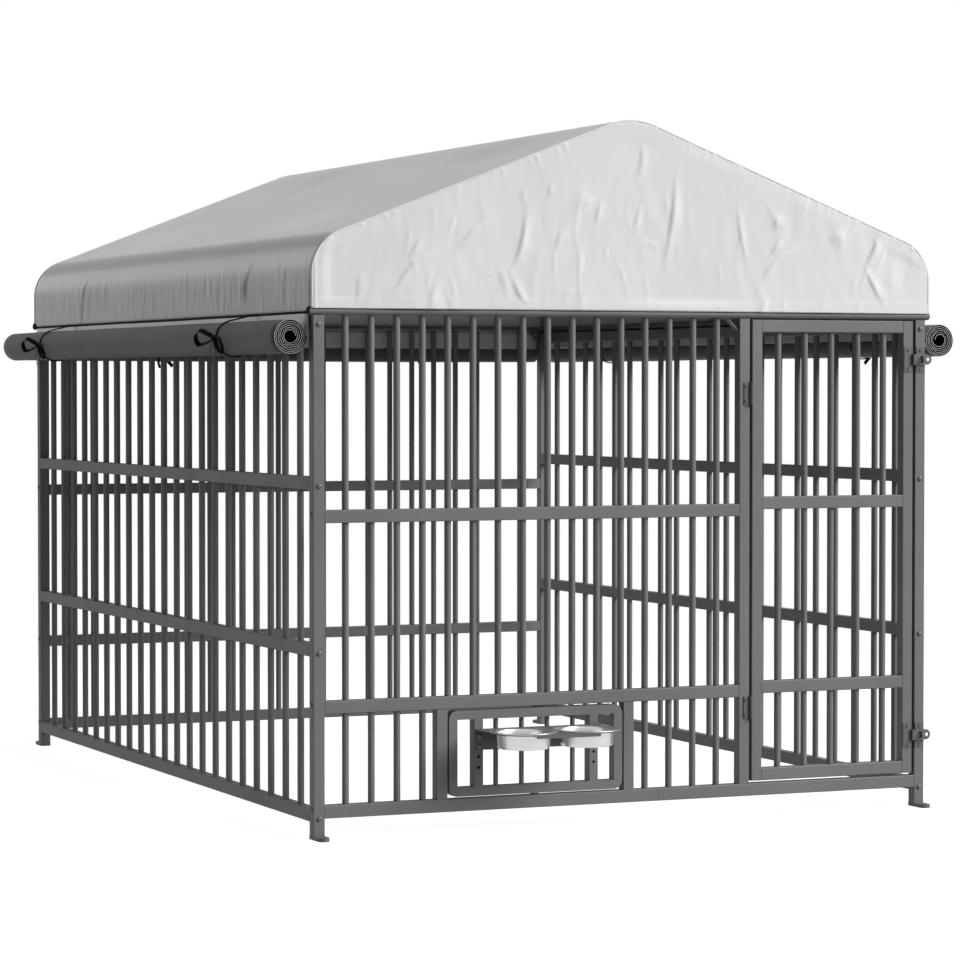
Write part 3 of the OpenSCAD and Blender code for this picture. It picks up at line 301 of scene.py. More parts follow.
def smooth_path(points, count):
    """Catmull-Rom curve through given points, at equal distances."""
    p = np.array(points, float)
    p = np.concatenate([[2 * p[0] - p[1]], p, [2 * p[-1] - p[-2]]])
    t = np.linspace(0.0, 1.0, 16, endpoint=False)[:, None]
    runs = []
    for k in range(len(p) - 3):
        a, b, c, d = p[k : k + 4]
        square = (2 * a - 5 * b + 4 * c - d) * t**2
        cube = (3 * b - a - 3 * c + d) * t**3
        runs.append(0.5 * (2 * b + (c - a) * t + square + cube))
    return resample(np.concatenate(runs + [p[-2:-1]]), count)


def swept(path, sides, lifts):
    """Cross-section carried along a path: path + sides + lifts, with both ends closed to a point."""
    body = path[:, None, :] + sides + lifts
    first, last = (np.broadcast_to(p, (1, *body.shape[1:])) for p in (path[0], path[-1]))
    surface = np.concatenate([first, body, last])
    run = along(path)
    run = np.concatenate([[run[0] - 0.001], run, [run[-1] + 0.001]])
    girth = along(body[0])
    uv = np.stack(np.broadcast_arrays(run[:, None], girth[None, :]), axis=-1)
    return surface, uv


def tube(path, radius, sides=10):
    """Circle carried along a path: path + radius (cos a · side + sin a · lift)."""
    tangent = unit(np.gradient(path, axis=0))
    side = unit(np.cross(tangent, np.broadcast_to((0.0, 1.0, 0.0), tangent.shape)))
    lift = np.cross(side, tangent)
    a = np.linspace(0.0, 2 * math.pi, sides + 1)[None, :, None]
    return swept(path, radius * np.cos(a) * side[:, None, :], radius * np.sin(a) * lift[:, None, :])


def ribbon(path, across, width, thickness):
    """Flat tape carried along a path: edges at path ± width/2 across ± thickness/2 over its face."""
    tangent = unit(np.gradient(path, axis=0))
    across = unit(np.broadcast_to(np.asarray(across, float), path.shape))
    face = unit(np.cross(tangent, across))
    across = np.cross(face, tangent)
    w = np.array([-0.5, 0.5, 0.5, -0.5, -0.5])[None, :, None] * width
    h = np.array([-0.5, -0.5, 0.5, 0.5, -0.5])[None, :, None] * thickness
    return swept(path, w * across[:, None, :], h * face[:, None, :])


def waves(u, v, seed, count, longest, shortest):
    """Smooth random field: plane waves of random heading, length and phase, of about unit height."""
    rng = np.random.default_rng(seed)
    heading = rng.uniform(0.0, math.pi, count)
    number = 2 * math.pi / rng.uniform(shortest, longest, count)
    phase = rng.uniform(0.0, 2 * math.pi, count)
    total = np.zeros(np.broadcast(u, v).shape)
    for k in range(count):
        total += np.sin(number[k] * (u * np.cos(heading[k]) + v * np.sin(heading[k])) + phase[k])
    return total / math.sqrt(count)


def creases(u, v, seed, count, spread, heading, length, width, height):
    """Thin folds on a sheet, slightly bowed.

    Each is height · exp(-(across / width)²) · exp(-(along / length)²). spread gives the two ranges of
    their middles, heading the mean direction and its spread, and length, width and height are ranges.
    """
    rng = np.random.default_rng(seed)
    total = np.zeros(np.broadcast(u, v).shape)
    for _ in range(count):
        du = u - rng.uniform(*spread[0])
        dv = v - rng.uniform(*spread[1])
        angle = rng.normal(*heading)
        run = du * math.cos(angle) + dv * math.sin(angle)
        off = dv * math.cos(angle) - du * math.sin(angle)
        long = rng.uniform(*length)
        off = off + rng.normal(0.0, 0.12) * run * run / long
        high = rng.uniform(*height)
        total += high * np.exp(-((off / rng.uniform(*width)) ** 2) - (run / long) ** 2)
    return total


def fold_lines(u, v, folds):
    """Folds along curves, about three times steeper on one side.

    Each is height · sin(π run) · exp(-(off / width)²), where off is the distance to the curve through the
    fold's points and run the share of its length.
    """
    total = np.zeros(np.broadcast(u, v).shape)
    for width, height, points in folds:
        path = smooth_path(points, 12)
        best = np.full(total.shape, np.inf)
        side = np.zeros(total.shape)
        run = np.zeros(total.shape)
        for k, (start, step) in enumerate(zip(path[:-1], np.diff(path, axis=0))):
            t = ((u - start[0]) * step[0] + (v - start[1]) * step[1]) / (step @ step)
            t = np.clip(t, 0.0, 1.0)
            du = u - start[0] - t * step[0]
            dv = v - start[1] - t * step[1]
            off = np.hypot(du, dv)
            near = off < best
            best = np.where(near, off, best)
            side = np.where(near, step[0] * dv - step[1] * du, side)
            run = np.where(near, (k + t) / (len(path) - 1), run)
        reach = np.where(side > 0.0, width, 0.36 * width)
        ends = np.sin(math.pi * np.clip(run, 0.06, 0.94))
        total += height * ends * np.exp(-((best / reach) ** 2))
    return total


def fade(x, low, high):
    """Smooth step from 0 at low to 1 at high."""
    t = np.clip((x - low) / (high - low), 0.0, 1.0)
    return t * t * (3 - 2 * t)


def place(piece, body, materials, replaced=()):
    """Gives a finished piece its materials and body, and hides the solids that it stands for."""
    for material in materials:
        piece.data.materials.append(material)
    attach(piece, body)
    for node in replaced:
        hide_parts(node)


# Materials


def start_material(name):
    """Material with its Principled shader and texture coordinates."""
    material = bpy.data.materials.get(name) or bpy.data.materials.new(name)
    material.use_nodes = True
    tree = material.node_tree
    shader = tree.nodes["Principled BSDF"]
    coords = tree.nodes.new("ShaderNodeTexCoord")
    return material, tree, shader, coords


def set_inputs(tree, node, inputs):
    """Gives each input of a node its value, or a link where the value is another node's output."""
    for name, value in inputs.items():
        if isinstance(value, bpy.types.NodeSocket):
            tree.links.new(value, node.inputs[name])
        else:
            node.inputs[name].default_value = value


def add_node(tree, kind, inputs, **traits):
    """New node with its traits and inputs."""
    node = tree.nodes.new("ShaderNode" + kind)
    for trait, value in traits.items():
        setattr(node, trait, value)
    set_inputs(tree, node, inputs)
    return node


def noise_node(tree, vector, scale, detail=3.0, roughness=0.5, stretch=None, kind="FBM"):
    """Noise texture's height, with its coordinates stretched per axis."""
    if stretch is not None:
        vector = add_node(tree, "Mapping", {"Vector": vector, "Scale": stretch}).outputs["Vector"]
    inputs = {"Vector": vector, "Scale": scale, "Detail": detail, "Roughness": roughness}
    return add_node(tree, "TexNoise", inputs, noise_type=kind).outputs["Fac"]


def range_node(tree, height, low, high, from_low=0.0, from_high=1.0, kind="LINEAR"):
    """A height moved from one range to another."""
    ranges = {"Value": height, "From Min": from_low, "From Max": from_high, "To Min": low, "To Max": high}
    return add_node(tree, "MapRange", ranges, interpolation_type=kind).outputs["Result"]


def math_node(tree, operation, a, b):
    """Two values joined by an operation."""
    return add_node(tree, "Math", {0: a, 1: b}, operation=operation).outputs["Value"]


def bump_node(tree, height, strength, distance, under=None):
    """Bump from a height, over an earlier bump."""
    inputs = {"Height": height, "Strength": strength, "Distance": distance}
    if under is not None:
        inputs["Normal"] = under
    return add_node(tree, "Bump", inputs).outputs["Normal"]


def shade(colour, factor):
    """A colour made lighter or darker."""
    return tuple(min(1.0, channel * factor) for channel in colour)


def tint(tree, height, colour, low, high):
    """Blend of two shades of a colour by a height."""
    ramp = add_node(tree, "ValToRGB", {"Fac": height})
    for element, position, share in zip(ramp.color_ramp.elements, (0.3, 0.7), (low, high)):
        element.position = position
        element.color = (*shade(colour, share), 1.0)
    return ramp.outputs["Color"]


def powder_coat(name, colour):
    """Satin powder coat: fine orange peel, faint uneven tone and dust."""
    material, tree, shader, coords = start_material(name)
    spot = coords.outputs["Object"]
    inputs = {
        "Base Color": tint(tree, noise_node(tree, spot, 5.0, 4.0), colour, 0.93, 1.08),
        "Roughness": range_node(tree, noise_node(tree, spot, 140.0, 2.0), 0.44, 0.58),
        "Normal": bump_node(tree, noise_node(tree, spot, 900.0, 2.0), 0.12, 0.0004),
        "Specular IOR Level": 0.008,
    }
    set_inputs(tree, shader, inputs)
    return material


def dark_plating(name, colour):
    """Dark plated steel with a fine crystal grain."""
    material, tree, shader, coords = start_material(name)
    grain = noise_node(tree, coords.outputs["Object"], 500.0, 3.0)
    inputs = {
        "Base Color": tint(tree, grain, colour, 0.75, 1.25),
        "Roughness": range_node(tree, grain, 0.38, 0.55),
        "Metallic": 0.5,
    }
    set_inputs(tree, shader, inputs)
    return material


def stainless(name, colour):
    """Spun stainless steel: fine rings round the bowl and a soft gloss."""
    material, tree, shader, coords = start_material(name)
    rings = noise_node(tree, coords.outputs["UV"], 60.0, 4.0, 0.6, (0.05, 12.0, 1.0))
    inputs = {
        "Base Color": tint(tree, rings, colour, 0.93, 1.07),
        "Roughness": range_node(tree, rings, 0.24, 0.38),
        "Normal": bump_node(tree, rings, 0.1, 0.0002),
        "Metallic": 1.0,
    }
    set_inputs(tree, shader, inputs)
    return material


def woven(name, colour, roughness, tone=0.05, crumple=None, top=None, painted_shading=None, gloss=0.2):
    """Coated woven cloth on its flat coordinates: threads both ways, cloudy tone, fine creases.

    The fine creases (scale, height) come in patches and end at a distance top from the hem. The painted
    shading is a row of distances from the hem with the share of the colour there: a painted highlight band
    and painted shade across the eave bend, standing in for how light falls on the turning cloth.
    """
    material, tree, shader, coords = start_material(name)
    cloth = coords.outputs["UV"]
    thread = {"Vector": cloth, "Scale": WAVE_LENGTH / THREAD_PITCH, "Distortion": 0.4}
    warp = add_node(tree, "TexWave", thread, bands_direction="X").outputs["Fac"]
    weft = add_node(tree, "TexWave", thread, bands_direction="Y").outputs["Fac"]
    weave = math_node(tree, "MULTIPLY", warp, weft)
    colours = tint(tree, noise_node(tree, cloth, 5.0, 5.0), colour, 1.0 - tone, 1.0 + tone)
    normal = bump_node(tree, noise_node(tree, cloth, 38.0, 4.0, 0.55), 0.15, 0.002)
    from_hem = add_node(tree, "SeparateXYZ", {"Vector": cloth}).outputs["Y"]
    if crumple is not None:
        scale, depth = crumple
        ridges = noise_node(tree, cloth, scale, 3.0, 0.5, (1.0, 0.36, 1.0), "RIDGED_MULTIFRACTAL")
        patches = range_node(tree, noise_node(tree, cloth, 5.0, 2.0), 0.15, 1.0, 0.4, 0.62, "SMOOTHSTEP")
        height = math_node(tree, "MULTIPLY", ridges, patches)
        if top is not None:
            low = range_node(tree, from_hem, 1.0, 0.0, 0.7 * top, top, "SMOOTHSTEP")
            height = math_node(tree, "MULTIPLY", height, low)
        normal = bump_node(tree, height, 1.0, depth, normal)
    # Painted highlight and shade across the eave bend: the colour is scaled by a curve of the distance from
    # the hem
    if painted_shading is not None:
        reach = painted_shading[-1][0]
        share = add_node(tree, "FloatCurve", {"Value": range_node(tree, from_hem, 0.0, 1.0, 0.0, reach)})
        curve = share.mapping.curves[0]
        for point, (distance, amount) in zip(curve.points, (painted_shading[0], painted_shading[-1])):
            point.location = (distance / reach, amount / 2)
        for distance, amount in painted_shading[1:-1]:
            curve.points.new(distance / reach, amount / 2)
        share.mapping.update()
        doubled = math_node(tree, "MULTIPLY", share.outputs["Value"], 2.0)
        scaled = add_node(tree, "VectorMath", {"Vector": colours, "Scale": doubled}, operation="SCALE")
        colours = scaled.outputs["Vector"]
    inputs = {
        "Base Color": colours,
        "Roughness": range_node(tree, weave, roughness - 0.06, roughness + 0.06),
        "Normal": bump_node(tree, weave, 0.2, 0.0003, normal),
        "Specular IOR Level": gloss,
    }
    set_inputs(tree, shader, inputs)
    return material


def plain_tape(name, colour):
    """Matt tape or plastic with a fine grain."""
    material, tree, shader, coords = start_material(name)
    grain = noise_node(tree, coords.outputs["Object"], 700.0, 2.0)
    inputs = {
        "Base Color": tint(tree, grain, colour, 0.7, 1.5),
        "Normal": bump_node(tree, grain, 0.3, 0.0004),
        "Roughness": 0.8,
        "Specular IOR Level": 0.05,
    }
    set_inputs(tree, shader, inputs)
    return material


# Cover


def hem_level(settings):
    """Height of the gables' hem above the ground."""
    return COVER_LOW.z + settings.side_lap


def bend_start(settings):
    """Height above the hem at which the upright skirt passes into the bend at the eave."""
    return settings.skirt - settings.eave_bend * math.tan(math.pi / 4 - settings.pitch / 2)


def hem_rise(settings, height):
    """Extra thickness of the turned-up hem: a smooth step down at the hem's upper edge."""
    return HEM_RISE * (1.0 - fade(height, settings.hem - 0.001, settings.hem + 0.003))


def arc_points(across, up, radius, angles):
    """Points of an arc: (across + radius cos a, up + radius sin a)."""
    return np.stack([across + radius * np.cos(angles), up + radius * np.sin(angles)], axis=1)


def cover_line(settings, count):
    """Cross-section of the cover from the right hem over the ridge to the left hem, and its normals.

    Upright skirt, arc of 90° - pitch at the eave, straight slope, arc of twice the pitch at the ridge,
    mirrored. The normals point outwards.
    """
    half = COVER_HIGH.x
    hem = hem_level(settings)
    corner = hem + settings.skirt
    p = settings.pitch
    bend_x = half - settings.eave_bend
    bend_z = corner - settings.eave_bend * (1 - math.sin(p)) / math.cos(p)
    ridge_z = corner + (half * math.sin(p) - settings.ridge_bend) / math.cos(p)
    a = np.linspace(0.0, math.pi / 2 - p, 40)
    b = np.linspace(math.pi / 2 - p, math.pi / 2, 30)
    eave = arc_points(bend_x, bend_z, settings.eave_bend, a)
    ridge = arc_points(0.0, ridge_z, settings.ridge_bend, b)
    right = np.concatenate([[[half, hem]], eave, ridge])
    left = right[-2::-1] * np.array([-1.0, 1.0])
    line = resample(np.concatenate([right, left]), count)
    tangent = unit(np.gradient(line, axis=0))
    normal = np.stack([tangent[:, 1], -tangent[:, 0]], axis=1)
    return line, normal


def wedge_folds(places, base):
    """Two folds that meet at the hem like a wedge, at each place; base shifts their heights."""
    folds = []
    for y in places:
        front = ((y - 0.055, base + 0.122), (y - 0.016, base + 0.06), (y - 0.004, base + 0.004))
        rear = ((y + 0.014, base + 0.094), (y + 0.009, base + 0.05), (y + 0.006, base + 0.006))
        folds += [(0.016, 0.0042, front), (0.014, 0.0036, rear)]
    return folds


def cover_sheet(settings):
    """Roof and side skirts: the cross-section carried along Y, moved along its normal by sag and folds.

    Sag: sag · sin²(π y / bow spacing) over the slopes. Folds: upright creases and wedges that fade above
    the eave. The columns lie closer together on the skirts and the eave bends than on the slopes. The hem
    is notched round the ends of the front and rear eave tubes and hangs lower by side_lap between them.
    """
    line, normal = cover_line(settings, 1600)
    s = along(line)
    half = s[-1] / 2
    above_bend, below_ridge = 0.21, half - 0.05
    side = np.concatenate(
        [
            np.linspace(0.0, above_bend, 40, endpoint=False),
            np.linspace(above_bend, below_ridge, 14, endpoint=False),
            np.linspace(below_ridge, half, 5, endpoint=False),
        ]
    )
    at = np.concatenate([side, [half], s[-1] - side[::-1]])
    line = np.stack([np.interp(at, s, line[:, k]) for k in range(2)], axis=1)
    normal = unit(np.stack([np.interp(at, s, normal[:, k]) for k in range(2)], axis=1))
    ends = COVER_HIGH.y - np.array(END_ROWS)
    inner = COVER_HIGH.y - 0.022
    y = np.concatenate([-ends, np.linspace(-inner, inner, 386), ends[::-1]])
    ys, ss = np.meshgrid(y, at, indexing="ij")
    height = np.broadcast_to(line[None, :, 1] - hem_level(settings), ys.shape)
    slope = fade(height, settings.skirt + 0.03, settings.skirt + 0.12)
    slope = slope * fade(np.abs(line[None, :, 0]), 0.04, 0.2)
    between = np.sin(math.pi * ys / TUBE_Y) ** 2
    skirt = 1.0 - fade(height, settings.skirt * 0.6, settings.skirt * 1.05)
    lift = np.where(line[None, :, 0] > 0, height, height + 1.0)
    fold = fold_lines(ys, lift, wedge_folds(RIGHT_WEDGES, 0.0) + wedge_folds(LEFT_WEDGES, 1.0))
    for seed, base in ((3, 0.0), (4, 1.0)):
        fold += creases(
            ys, lift, seed, 110, spread=((-1.03, 1.03), (base + 0.01, base + 0.08)), heading=(1.5, 0.14),
            length=(0.015, 0.04), width=(0.005, 0.009), height=(-0.7 * settings.pucker, settings.pucker)
        )
        fold += creases(
            ys, lift, seed + 20, 26, spread=((-1.0, 1.0), (base + 0.07, base + 0.13)), heading=(0.9, 0.5),
            length=(0.012, 0.03), width=(0.006, 0.009),
            height=(-0.6 * settings.pucker, 0.7 * settings.pucker)
        )
    swell = waves(ys, ss * 0.12, seed=6, count=7, longest=0.5, shortest=0.2) * 0.0016
    ripple = waves(ys, ss, seed=5, count=7, longest=0.7, shortest=0.25) * 0.0012 * slope
    to_bow = np.min(np.abs(ys[..., None] - np.array([-TUBE_Y, 0.0, TUBE_Y])), axis=-1)
    free = fade(height, 0.008, 0.03) * fade(to_bow, 0.012, 0.06)
    wrinkle = (fold + swell) * skirt
    wrinkle = np.where(wrinkle < 0.0, wrinkle * free, wrinkle)
    dip = settings.dip * np.exp(-(((COVER_HIGH.y - np.abs(ys)) / 0.008) ** 2))
    move = (ripple - settings.sag * slope) * between + wrinkle * fade(dip, 0.002, 0.0)
    move = move + hem_rise(settings, height) - dip
    surface = np.empty((len(y), len(at), 3))
    surface[..., 0] = line[None, :, 0] + normal[None, :, 0] * move
    surface[..., 1] = ys
    notch = np.sqrt(np.maximum((TUBE_R + 0.0004) ** 2 - (np.abs(ys) - TUBE_Y) ** 2, 0.0))
    high = line[None, :, 1] + normal[None, :, 1] * move
    high = np.maximum(high, np.where(notch > 0, TUBE_Z + notch, 0.0))
    below = settings.side_lap * fade(TUBE_Y - np.abs(ys), TUBE_R, TUBE_R + 0.012)
    surface[..., 2] = high - below * (1.0 - fade(height, 0.0, settings.skirt * 0.5))
    uv = np.stack([ys, np.minimum(ss, s[-1] - ss)], axis=-1)
    return surface, uv


def edge_puckers(across, gap, seed, count, height):
    """Short puckers square to a seam.

    Each is height · exp(-((across - middle) / width)²) · exp(-(gap / reach)²).
    """
    rng = np.random.default_rng(seed)
    middles = np.linspace(across.min(), across.max(), count) + rng.uniform(-0.008, 0.008, count)
    total = np.zeros(across.shape)
    for middle in middles:
        width = rng.uniform(0.003, 0.005)
        reach = rng.uniform(0.012, 0.028)
        high = rng.uniform(-0.6, 1.0) * height
        total += high * np.exp(-(((across - middle) / width) ** 2) - (gap / reach) ** 2)
    return total


def gable_sheet(settings, front, seed):
    """Gable: from the hem up to the cross-section, moved by soft bulges, folds and puckers at its seam.

    Near the seam and the hem, where tubes lie behind it, it moves only outwards.
    """
    rows, columns = 430, 112
    line, normal = cover_line(settings, 1600)
    line = line - normal * settings.dip / 2
    half = COVER_HIGH.x - settings.dip / 2
    upper = resample(line[line[:, 1] >= hem_level(settings) + bend_start(settings)], rows)
    v = 1.0 - np.linspace(1.0, 0.0, columns) ** 1.3
    x = np.broadcast_to(upper[:, 0][:, None], (rows, columns))
    full = upper[:, 1][:, None] - hem_level(settings)
    high = full * v[None, :]
    drop = full - high
    gap = np.minimum(drop * math.cos(settings.pitch), half - np.abs(x))
    turn = 1.0 if front else -1.0
    bulge = waves(x, high, seed, count=8, longest=0.9, shortest=0.3) * 0.0024
    small = creases(
        x, high, seed + 1, 90, spread=((-0.72, 0.72), (0.0, 0.26)), heading=(1.45, 0.3),
        length=(0.012, 0.05), width=(0.0045, 0.008), height=(-0.0005, 0.0008)
    )
    small += creases(
        x, high, seed + 2, 70, spread=((-0.72, 0.72), (0.0, 0.2)), heading=(0.9, 0.45),
        length=(0.01, 0.03), width=(0.0045, 0.007), height=(-0.0004, 0.0007)
    )
    folds = fold_lines(turn * x, high, GABLE_FOLDS)
    across = x + gap * math.sin(settings.pitch) * np.sign(x)
    seam = edge_puckers(across, gap, seed + 3, count=84, height=0.0011)
    move = (bulge + (folds + small) * settings.crease) * fade(gap, 0.004, 0.03) + seam
    free = fade(gap, 0.022, 0.05) * fade(high, 0.008, 0.03)
    move = np.where(move < 0.0, move * free, move)
    groove = 0.001 * np.exp(-((gap / 0.003) ** 2))
    y = COVER_HIGH.y + np.maximum(move, -0.006) + hem_rise(settings, high) - groove
    surface = np.stack([x, -y if front else y, hem_level(settings) + high], axis=-1)
    return surface, np.stack([x, high], axis=-1)


class KENNEL_OT_make_cover(bpy.types.Operator):
    """Roof sheet, two gables, piping along the gables and turned-up hems"""

    bl_idname = "kennel.make_cover"
    bl_label = "Make the cover"

    def execute(self, context):
        settings = context.scene.kennel_cover
        colour = settings.colour
        arc = settings.eave_bend * (math.pi / 2 - settings.pitch)
        # Painted shade on the skirt, then a painted highlight band and painted shade across the eave bend
        painted_shading = [(0.0, 0.9)] + [(bend_start(settings) + share * arc, tone) for share, tone in EAVE_PAINTED_SHADING]
        roof_cloth = woven(
            "cover_roof_cloth_painted_shading", colour, 0.7, tone=0.03, crumple=(30.0, 0.005),
            top=1.1 * settings.skirt, painted_shading=painted_shading
        )
        cloth = woven("cover_gable_cloth", colour, 0.7, tone=0.03, crumple=(20.0, 0.004), top=0.36)
        welt = woven("cover_welt", shade(colour, 1.05), 0.55)
        line, normal = cover_line(settings, 400)
        surface, uv = cover_sheet(settings)
        roof = grid_object("cover_roof", surface, uv)
        thicken(roof, settings.thickness, -1)
        place(roof, "frame", [roof_cloth], ["roof_cover"])
        for name, front, seed in (("front", True, 11), ("rear", False, 31)):
            surface, uv = gable_sheet(settings, front, seed)
            gable = grid_object(f"cover_{name}_gable", surface, uv, flip=front)
            thicken(gable, settings.thickness, -1)
            place(gable, "frame", [cloth], ["roof_cover"])
        path = line - normal * settings.dip / 2
        seam_y = COVER_HIGH.y - settings.piping * 0.7
        seams = [tube(np.insert(path, 1, sign * seam_y, axis=1), settings.piping) for sign in (-1, 1)]
        place(merged(join_grids("cover_piping", seams)), "frame", [welt])
        return {"FINISHED"}


# Curtains


def roll_path(settings, flap_x, flap_top, steps=56):
    """Cross-section of a rolled curtain: down the flap, then a spiral of steady pitch to the core.

    Flap: straight from the eave to the roll's side. Spiral: radius = outside - pitch · turn and
    angle = -360° · turn.
    """
    turn = np.linspace(0.0, settings.turns, int(settings.turns * steps))
    outside = settings.radius - settings.sheet / 2
    pitch = (outside - settings.core) / settings.turns
    radius = outside - pitch * turn
    angle = -2 * math.pi * turn
    spiral = np.stack([radius * np.cos(angle), radius * np.sin(angle)], axis=1)
    down = np.concatenate([[0.0], np.linspace(0.1, 1.0, 12)])[:, None]
    flap = np.array([flap_x, flap_top]) + down * np.array([outside - flap_x, -flap_top])
    return flap, spiral


def roll_surface(section, start, end, ties, seed, uneven):
    """A cross-section carried along Y, swelling between the ties, drawn in by them and ending unevenly."""
    s = along(section)
    close = [(np.linspace(-0.036, 0.036, 13) + tie - start) / (end - start) for tie in ties]
    t = np.unique(np.concatenate([np.linspace(0.0, 1.0, 64)] + close))[:, None]
    wander = waves(s[None, :], np.zeros((1, len(s))), seed, count=5, longest=0.3, shortest=0.09) * uneven
    y = (start + wander) + t * ((end + 0.7 * wander) - (start + wander))
    swell = 1.0 + 0.012 * waves(y, np.zeros_like(y), seed + 1, count=5, longest=1.1, shortest=0.25)
    for tie in ties:
        swell -= 0.05 * np.exp(-(((y - tie) / 0.013) ** 2))
    surface = np.stack([section[None, :, 0] * swell, y, section[None, :, 1] * swell], axis=-1)
    uv = np.stack([y, np.broadcast_to(s[None, :], y.shape)], axis=-1)
    return surface, uv


def turned(points, quarter, centre, mirror):
    """Roll coordinates (out of the frame towards -X, along +Y) to their side of the kennel."""
    p = np.array(points)
    if mirror:
        p[..., 0] *= -1
    if quarter:
        p = np.stack([p[..., 1], -p[..., 0], p[..., 2]], axis=-1)
    return p + np.asarray(centre)


def curtain_places(settings):
    """Name, centre, quarter turn, mirror, ends and ties of each roll."""
    z = POST_TOP - settings.drop
    out = HALF_W + settings.stand_off
    back = HALF_D + settings.stand_off
    side = (LEFT_ROLL_LOW.y, LEFT_ROLL_HIGH.y)
    rear = (REAR_ROLL_LOW.x, REAR_ROLL_HIGH.x)
    ties = (settings.tie_front - HALF_D, HALF_D - settings.tie_rear)
    rear_ties = (settings.tie_in - HALF_W, HALF_W - settings.tie_in)
    return [
        ("left_curtain", (-out, 0.0, z), False, False, side, ties),
        ("right_curtain", (out, 0.0, z), False, True, side, ties),
        ("rear_curtain", (0.0, back, z), True, False, rear, rear_ties),
    ]


def flap_corner(settings):
    """Upper edge of the flap in roll coordinates: across and up."""
    across = LEFT_ROLL_HIGH.x + HALF_W + settings.stand_off - settings.sheet / 2
    return across, LEFT_ROLL_HIGH.z - (POST_TOP - settings.drop)


class KENNEL_OT_make_curtains(bpy.types.Operator):
    """Three side curtains rolled up under the eaves, each with a flap up to the cover's hem"""

    bl_idname = "kennel.make_curtains"
    bl_label = "Make the curtains"

    def execute(self, context):
        settings = context.scene.kennel_curtain
        cloth = woven("curtain_cloth", settings.colour, 0.62, tone=0.1, gloss=0.05)
        inner = woven("curtain_roll_painted_shade", settings.roll_inside_painted_shade, 0.8, gloss=0.0)
        edge = woven("curtain_edge", settings.edge_colour, 0.7)
        # The flap's pale cloth holds painted light from above as well as the sheet's pale side
        pale = woven("curtain_flap_cloth", settings.flap_colour_with_painted_light, 0.6, crumple=(15.0, 0.004))
        # Black strip along the flap's top edge: painted shadow of the gap under the cover's hem
        painted_hem_shadow_strip = plain_tape("curtain_painted_hem_shadow", settings.tape_and_hem_shadow_colour)
        flap, spiral = roll_path(settings, *flap_corner(settings))
        for seed, roll_place in enumerate(curtain_places(settings)):
            node, centre, quarter, mirror, (start, end), ties = roll_place
            surface, uv = roll_surface(spiral, start, end, ties, 40 + 3 * seed, 0.0012)
            roll = grid_object(node + "_roll", turned(surface, quarter, centre, mirror), uv)
            cells = np.arange(len(roll.data.polygons)) % (len(spiral) - 1)
            # Every turn inside the outer one takes the near-black material: painted shade inside the roll
            inside = cells > len(spiral) / settings.turns
            thicken(roll, settings.sheet, 0).material_offset_rim = 2
            place(roll, "frame", [cloth, inner, edge], [node])
            roll.data.polygons.foreach_set("material_index", inside.astype(np.int32))
            stop = end if quarter else -start
            surface, uv = roll_surface(flap, start, stop, (), 60 + seed, 0.0)
            piece = grid_object(node + "_flap", turned(surface, quarter, centre, mirror), uv)
            # The top row of cells takes the black strip: painted shadow under the hem
            top_cells = np.arange(len(piece.data.polygons)) % (len(flap) - 1) == 0
            thicken(piece, settings.sheet, 0)
            place(piece, "frame", [pale, painted_hem_shadow_strip], [node])
            piece.data.polygons.foreach_set("material_index", top_cells.astype(np.int32))
        return {"FINISHED"}


def tie_grids(settings):
    """One tie round a roll on the origin: a band over and under the roll, two loops, two tails and a knot.

    Band: r (cos a, sin a) from the flap over the outside to the inside, drifting along the roll away from
    the knot.
    """
    r = settings.radius - 0.0006
    thin, thick = 0.0009, 0.003
    a = np.linspace(100.0, 350.0, 90)
    over = -0.034 * (np.maximum(180.0 - a, 0.0) / 80.0) ** 1.5
    under = -0.03 * (np.abs(a - 180.0) / 170.0) ** 0.8
    drift = np.where(a < 180.0, over, under)
    band_r = r + 0.0024 * fade(np.abs(drift), 0.0, 0.012)
    arc = np.stack([band_r * np.cos(np.radians(a)), drift, band_r * np.sin(np.radians(a))], axis=1)
    across, top = flap_corner(settings)
    high = np.array([across - 0.004, -0.046, top - 0.001])
    band = np.concatenate([np.linspace(high, arc[0], 12)[:-1], arc])
    x = -r - thick
    middle = np.array([x, 0.0, 0.0])
    turn = np.linspace(0.0, 2 * math.pi, 24)
    ring = [x - 0.0015 + 0.0045 * np.cos(turn), 0.001 * np.sin(turn), 0.0055 * np.sin(turn)]
    tape = settings.tape
    return [
        ribbon(band, (0, 1, 0), tape * 0.5, thick),
        ribbon(smooth_path(middle + ROUND_LOOP, 60), (0.65, 0.2, 0.7), tape, thin),
        ribbon(smooth_path(middle + FLAT_LOOP, 60), (0.95, -0.1, 0.3), tape * 0.6, thin),
        ribbon(smooth_path(middle + WIDE_TAIL, 30), (0.3, 1, 0.1), tape * 0.9, thin),
        ribbon(smooth_path(middle + NARROW_TAIL, 30), (0.2, 1, -0.1), tape * 0.6, thin),
        ribbon(np.stack(ring, axis=1), (0, 1, 0.15), 0.009, 0.0024),
    ]


class KENNEL_OT_make_ties(bpy.types.Operator):
    """Tapes round the rolled curtains, each tied in a bow on the outside"""

    bl_idname = "kennel.make_ties"
    bl_label = "Make the ties"

    def execute(self, context):
        settings = context.scene.kennel_curtain
        tape = plain_tape("tie_tape", settings.tape_and_hem_shadow_colour)
        grids = tie_grids(settings)
        pieces = []
        for _, centre, quarter, mirror, _, ties in curtain_places(settings):
            for y in ties:
                for surface, uv in grids:
                    moved = surface + np.array([0, y, 0])
                    pieces.append((turned(moved, quarter, centre, mirror), uv))
        ties = merged(join_grids("curtain_tie_tapes", pieces), math.radians(50.0))
        place(ties, "frame", [tape], ["curtain_ties"])
        return {"FINISHED"}


# Metal


